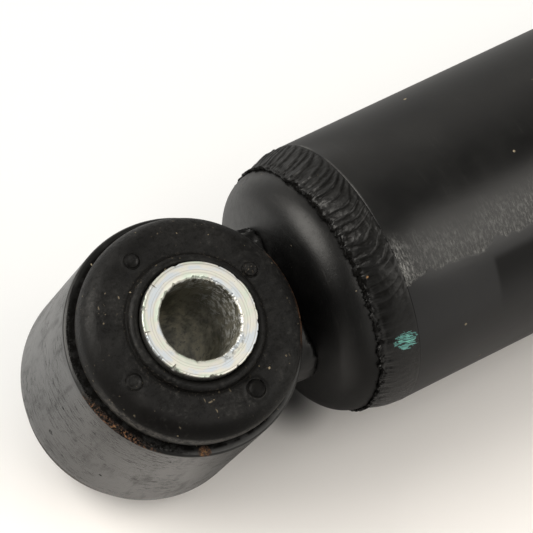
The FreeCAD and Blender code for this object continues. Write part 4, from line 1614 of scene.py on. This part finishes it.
def metal(
    name: str, colour: Triple, shade: Triple, roughness: float, lines: float, pores: float = 0.0
) -> TurnedMetal:
    """A turned metal by its colours, roughness, line height and share of pores."""
    return TurnedMetal(name, (0, 0, 0), (*colour, 1), (*shade, 1), roughness, lines, pores)


def moulded(name: str, colour: Triple, shade: Triple) -> Moulded:
    """A moulding by its colours."""
    return Moulded(name, (0, 0, 0), (*colour, 1), (*shade, 1), 0.5)


SPRING_STEEL = metal("spring_steel", (0.36, 0.37, 0.40), (0.24, 0.24, 0.25), 0.26, 0.004)


@dataclass
class StarSpring:
    """Star spring over a check disc, which flattens as the disc lifts."""

    node: str
    joint: str
    lift: float = 1.2
    play: float = SEAT_GAP

    def build(self) -> None:
        """Copy the spring and dress it."""
        spring = Lathe.smooth(copied(self.node, f"{self.node}_sprung"), 30)
        settle(spring, self.node, replace(SPRING_STEEL, name=f"{self.node}_steel"))
        low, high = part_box(self.node)
        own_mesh(spring)


class InnerWorks:
    """Rod, valves, guide and seals: CAD pieces that keep their shape and get a better finish."""

    FINISHES: Dict[str, Finish] = {
        "black_paint": BlackPaint("rod_weld_paint", roughness=0.42),
        "bright_steel": metal("bright_steel", (0.58, 0.57, 0.55), (0.42, 0.41, 0.40), 0.30, 0.012),
        "spring_steel": SPRING_STEEL,
        "sintered_iron": metal(
            "sintered_iron", (0.26, 0.25, 0.24), (0.17, 0.165, 0.16), 0.52, 0.01, 1.0
        ),
        "hard_chrome": metal("hard_chrome", (0.62, 0.62, 0.64), (0.55, 0.55, 0.57), 0.10, 0.002),
        "bronze": metal("bronze", (0.62, 0.40, 0.16), (0.42, 0.25, 0.10), 0.34, 0.012, 0.35),
        "band_plastic": moulded("band_plastic", (0.10, 0.115, 0.105), (0.055, 0.062, 0.058)),
        "seal_rubber": moulded("seal_rubber", (0.024, 0.024, 0.024), (0.011, 0.011, 0.011)),
    }

    def build(self) -> None:
        """Dress every CAD node that no piece stands for."""
        made = {slot: finish.material() for slot, finish in self.FINISHES.items()}
        for part in frame["record"]["subparts"]:
            node = frame["nodes"][part["node"]]
            if part["material_slot"] in made and not node.hide_render:
                dress(node, made[part["material_slot"]])
                log.info("%s keeps its shape in %s", part["node"], part["material_slot"])


@dataclass
class Studio:
    """Camera, floor and light."""

    camera_at: Triple = (-299.680, -99.563, 796.492)
    aim: Triple = (29.467, 7.683, 0.0)
    roll: float = 44.820
    lens: float = 294.32
    floor_width: float = 16000.0
    floor_x: float = 270.0
    floor_z: float = -30.05
    # Middle of the painted contact shadow on the floor, in millimetres.
    painted_shadow_at: Point = (33.0, -14.5)
    warm: Triple = (1.0, 0.965, 0.90)

    def camera(self) -> None:
        """Set up the camera."""
        data = bpy.data.cameras.new("camera")
        data.lens = self.lens
        data.sensor_width = 36.0
        data.clip_start = 0.01
        data.clip_end = 100.0
        body = added("camera", data)
        place = Vector(self.camera_at) * MM
        look = Vector(self.aim) * MM - place
        turn = look.to_track_quat("-Z", "Y") @ Quaternion((0, 0, 1), math.radians(self.roll))
        body.matrix_world = Matrix.Translation(place) @ turn.to_matrix().to_4x4()
        bpy.context.scene.camera = body

    def floor(self) -> None:
        """Lay the pale floor, white where nothing shades it, with painted light and shade: a
        painted contact shadow between the lower eye and the base cap, painted fill that keeps
        shadows faint towards +Y, and painted darker and lighter patches that show only in
        reflections.
        """
        bpy.ops.object.select_all(action="DESELECT")
        middle = Vector((self.floor_x, 0, self.floor_z)) * MM
        bpy.ops.mesh.primitive_plane_add(size=self.floor_width * MM, location=middle)
        floor = bpy.context.active_object
        keep_place()
        floor.name = "floor"
        made, sheet = blank("pale_floor")
        glossy = sheet.ray("Glossy")
        seen = sheet.ray("Camera").most(glossy).most(sheet.ray("Transmission"))
        spot = sheet.place()
        along, across, _ = sheet.parts(spot)
        # Painted fill: towards +Y the floor takes less light and emits more, so shadows there stay
        # faint; towards -Y it shades fully.
        far = across.over(-24, 20)
        # Painted contact shadow, darkest at its middle and gone 10.5 mm from it.
        gap = sheet.measure("DISTANCE", spot, (*self.painted_shadow_at, self.floor_z))
        # Painted shade in reflections: glossy rays see the floor darker towards +X and in a corner
        # towards -X and -Y.
        corner = along.over(-30, -44) * across.over(-10, -30)
        painted_shade_factor = 1.0 - 0.6 * glossy * (along - 0.35 * across).over(8, 30).most(corner)
        painted_shade_factor = painted_shade_factor * (1.0 - 0.9 * gap.over(10.5, 0.5))
        black = (0, 0, 0, 1)
        tone = sheet.blend(far, (0.98, 0.955, 0.94, 1), (0.33, 0.335, 0.345, 1))
        emitted_and_painted_fill = sheet.blend(far, (0.006, 0.006, 0.006, 1), (0.60, 0.59, 0.562, 1))
        tone, emitted_and_painted_fill = sheet.blend(painted_shade_factor, black, tone), sheet.blend(painted_shade_factor, black, emitted_and_painted_fill)
        matt = sheet.out("ShaderNodeBsdfDiffuse", sockets={"Color": tone})
        # Painted reflection: glossy rays see the floor's emission brighter towards -X and dimmer
        # far out towards +Y.
        near = along.over(-8, -28) * across.over(52, 30)
        back = along.over(36, 0) * across.over(38, 72)
        level = seen * (1.0 + glossy * (0.4 * near - 0.7 * back))
        glow_and_painted_light = sheet.out("ShaderNodeEmission", sockets={"Color": emitted_and_painted_fill, "Strength": level})
        both = sheet.out("ShaderNodeAddShader", sockets={0: matt, 1: glow_and_painted_light})
        sheet.node("ShaderNodeOutputMaterial", sockets={"Surface": both})
        dress(floor, made)

    def lamp(self, name: str, towards: Triple, strength: float, spread: float) -> Piece:
        """Hang a wide soft lamp.

        Args:
            name: Name of the lamp.
            towards: Direction from the object to the lamp.
            strength: Light on a surface that faces it.
            spread: Width of the lamp as seen from the object, in degrees.

        Returns:
            The lamp.
        """
        data = bpy.data.lights.new(name, "SUN")
        data.energy = strength
        data.angle = math.radians(spread)
        data.color = self.warm
        lamp = added(name, data)
        lamp.rotation_euler = Vector(towards).to_track_quat("Z", "Y").to_euler()
        return lamp

    def surround(self) -> None:
        """Make the dim room round the object, with pale walls to the front and the far side."""
        world = bpy.data.worlds.new("room")
        world.use_nodes = True
        bpy.context.scene.world = world
        sheet = NodeSheet(world.node_tree)
        way = sheet.out("ShaderNodeTexCoord", result="Generated")
        front = sheet.measure("DOT_PRODUCT", way, (0.5, -0.83, 0.24)).over(0.45, 0.97)
        side = sheet.measure("DOT_PRODUCT", way, (0.38, 0.92, 0.05)).over(0.6, 1.0)
        mirrored = 0.08 + 0.66 * front + 0.55 * side
        level = 0.04 + sheet.ray("Glossy") * (mirrored - 0.04)
        tone = sheet.blend(level, (0, 0, 0, 1), (*self.warm, 1))
        tone = sheet.blend(sheet.ray("Camera"), tone, (1, 1, 1, 1))
        shader = sheet.out("ShaderNodeBackground", sockets={"Color": tone, "Strength": 1.0})
        sheet.node("ShaderNodeOutputWorld", sockets={"Surface": shader})

    def build(self) -> None:
        """Set up everything that isn't part of the object."""
        bpy.context.scene.view_settings.view_transform = "Standard"
        self.camera()
        self.floor()
        self.lamp("key", (-0.63, 0.585, 0.51), 2.95, 50)
        self.lamp("softbox", (0.40, -0.29, 0.86), 0.92, 44)
        self.lamp("top", (0.16, 0.37, 0.92), 1.42, 78).visible_glossy = False
        self.lamp("side", (-0.76, 0.32, 0.56), 1.16, 78).visible_glossy = False
        self.surround()
        log.info("studio is set")


def main() -> None:
    """Build the shock absorber's looks in order."""
    logging.basicConfig(level=logging.INFO, format="%(name)s: %(message)s")
    Studio().build()
    reservoir, dust_tube = ReservoirEnd(), DustTubeEnd()
    lower = RubberEye("lower", 0.0, reservoir.cap())
    upper = RubberEye("upper", UPPER_EYE_X, dust_tube.cap(), turn=180.0)
    lower_pieces = lower.build()
    upper_pieces = upper.build_twin(lower_pieces)
    lower.dress(lower_pieces)
    upper.dress(upper_pieces)
    reservoir.build()
    dust_tube.build()
    StarSpring("foot_valve_spring", "foot_disc_lift").build()
    StarSpring("piston_spring", "piston_disc_lift").build()
    InnerWorks().build()


if __name__ == "__main__":
    main()
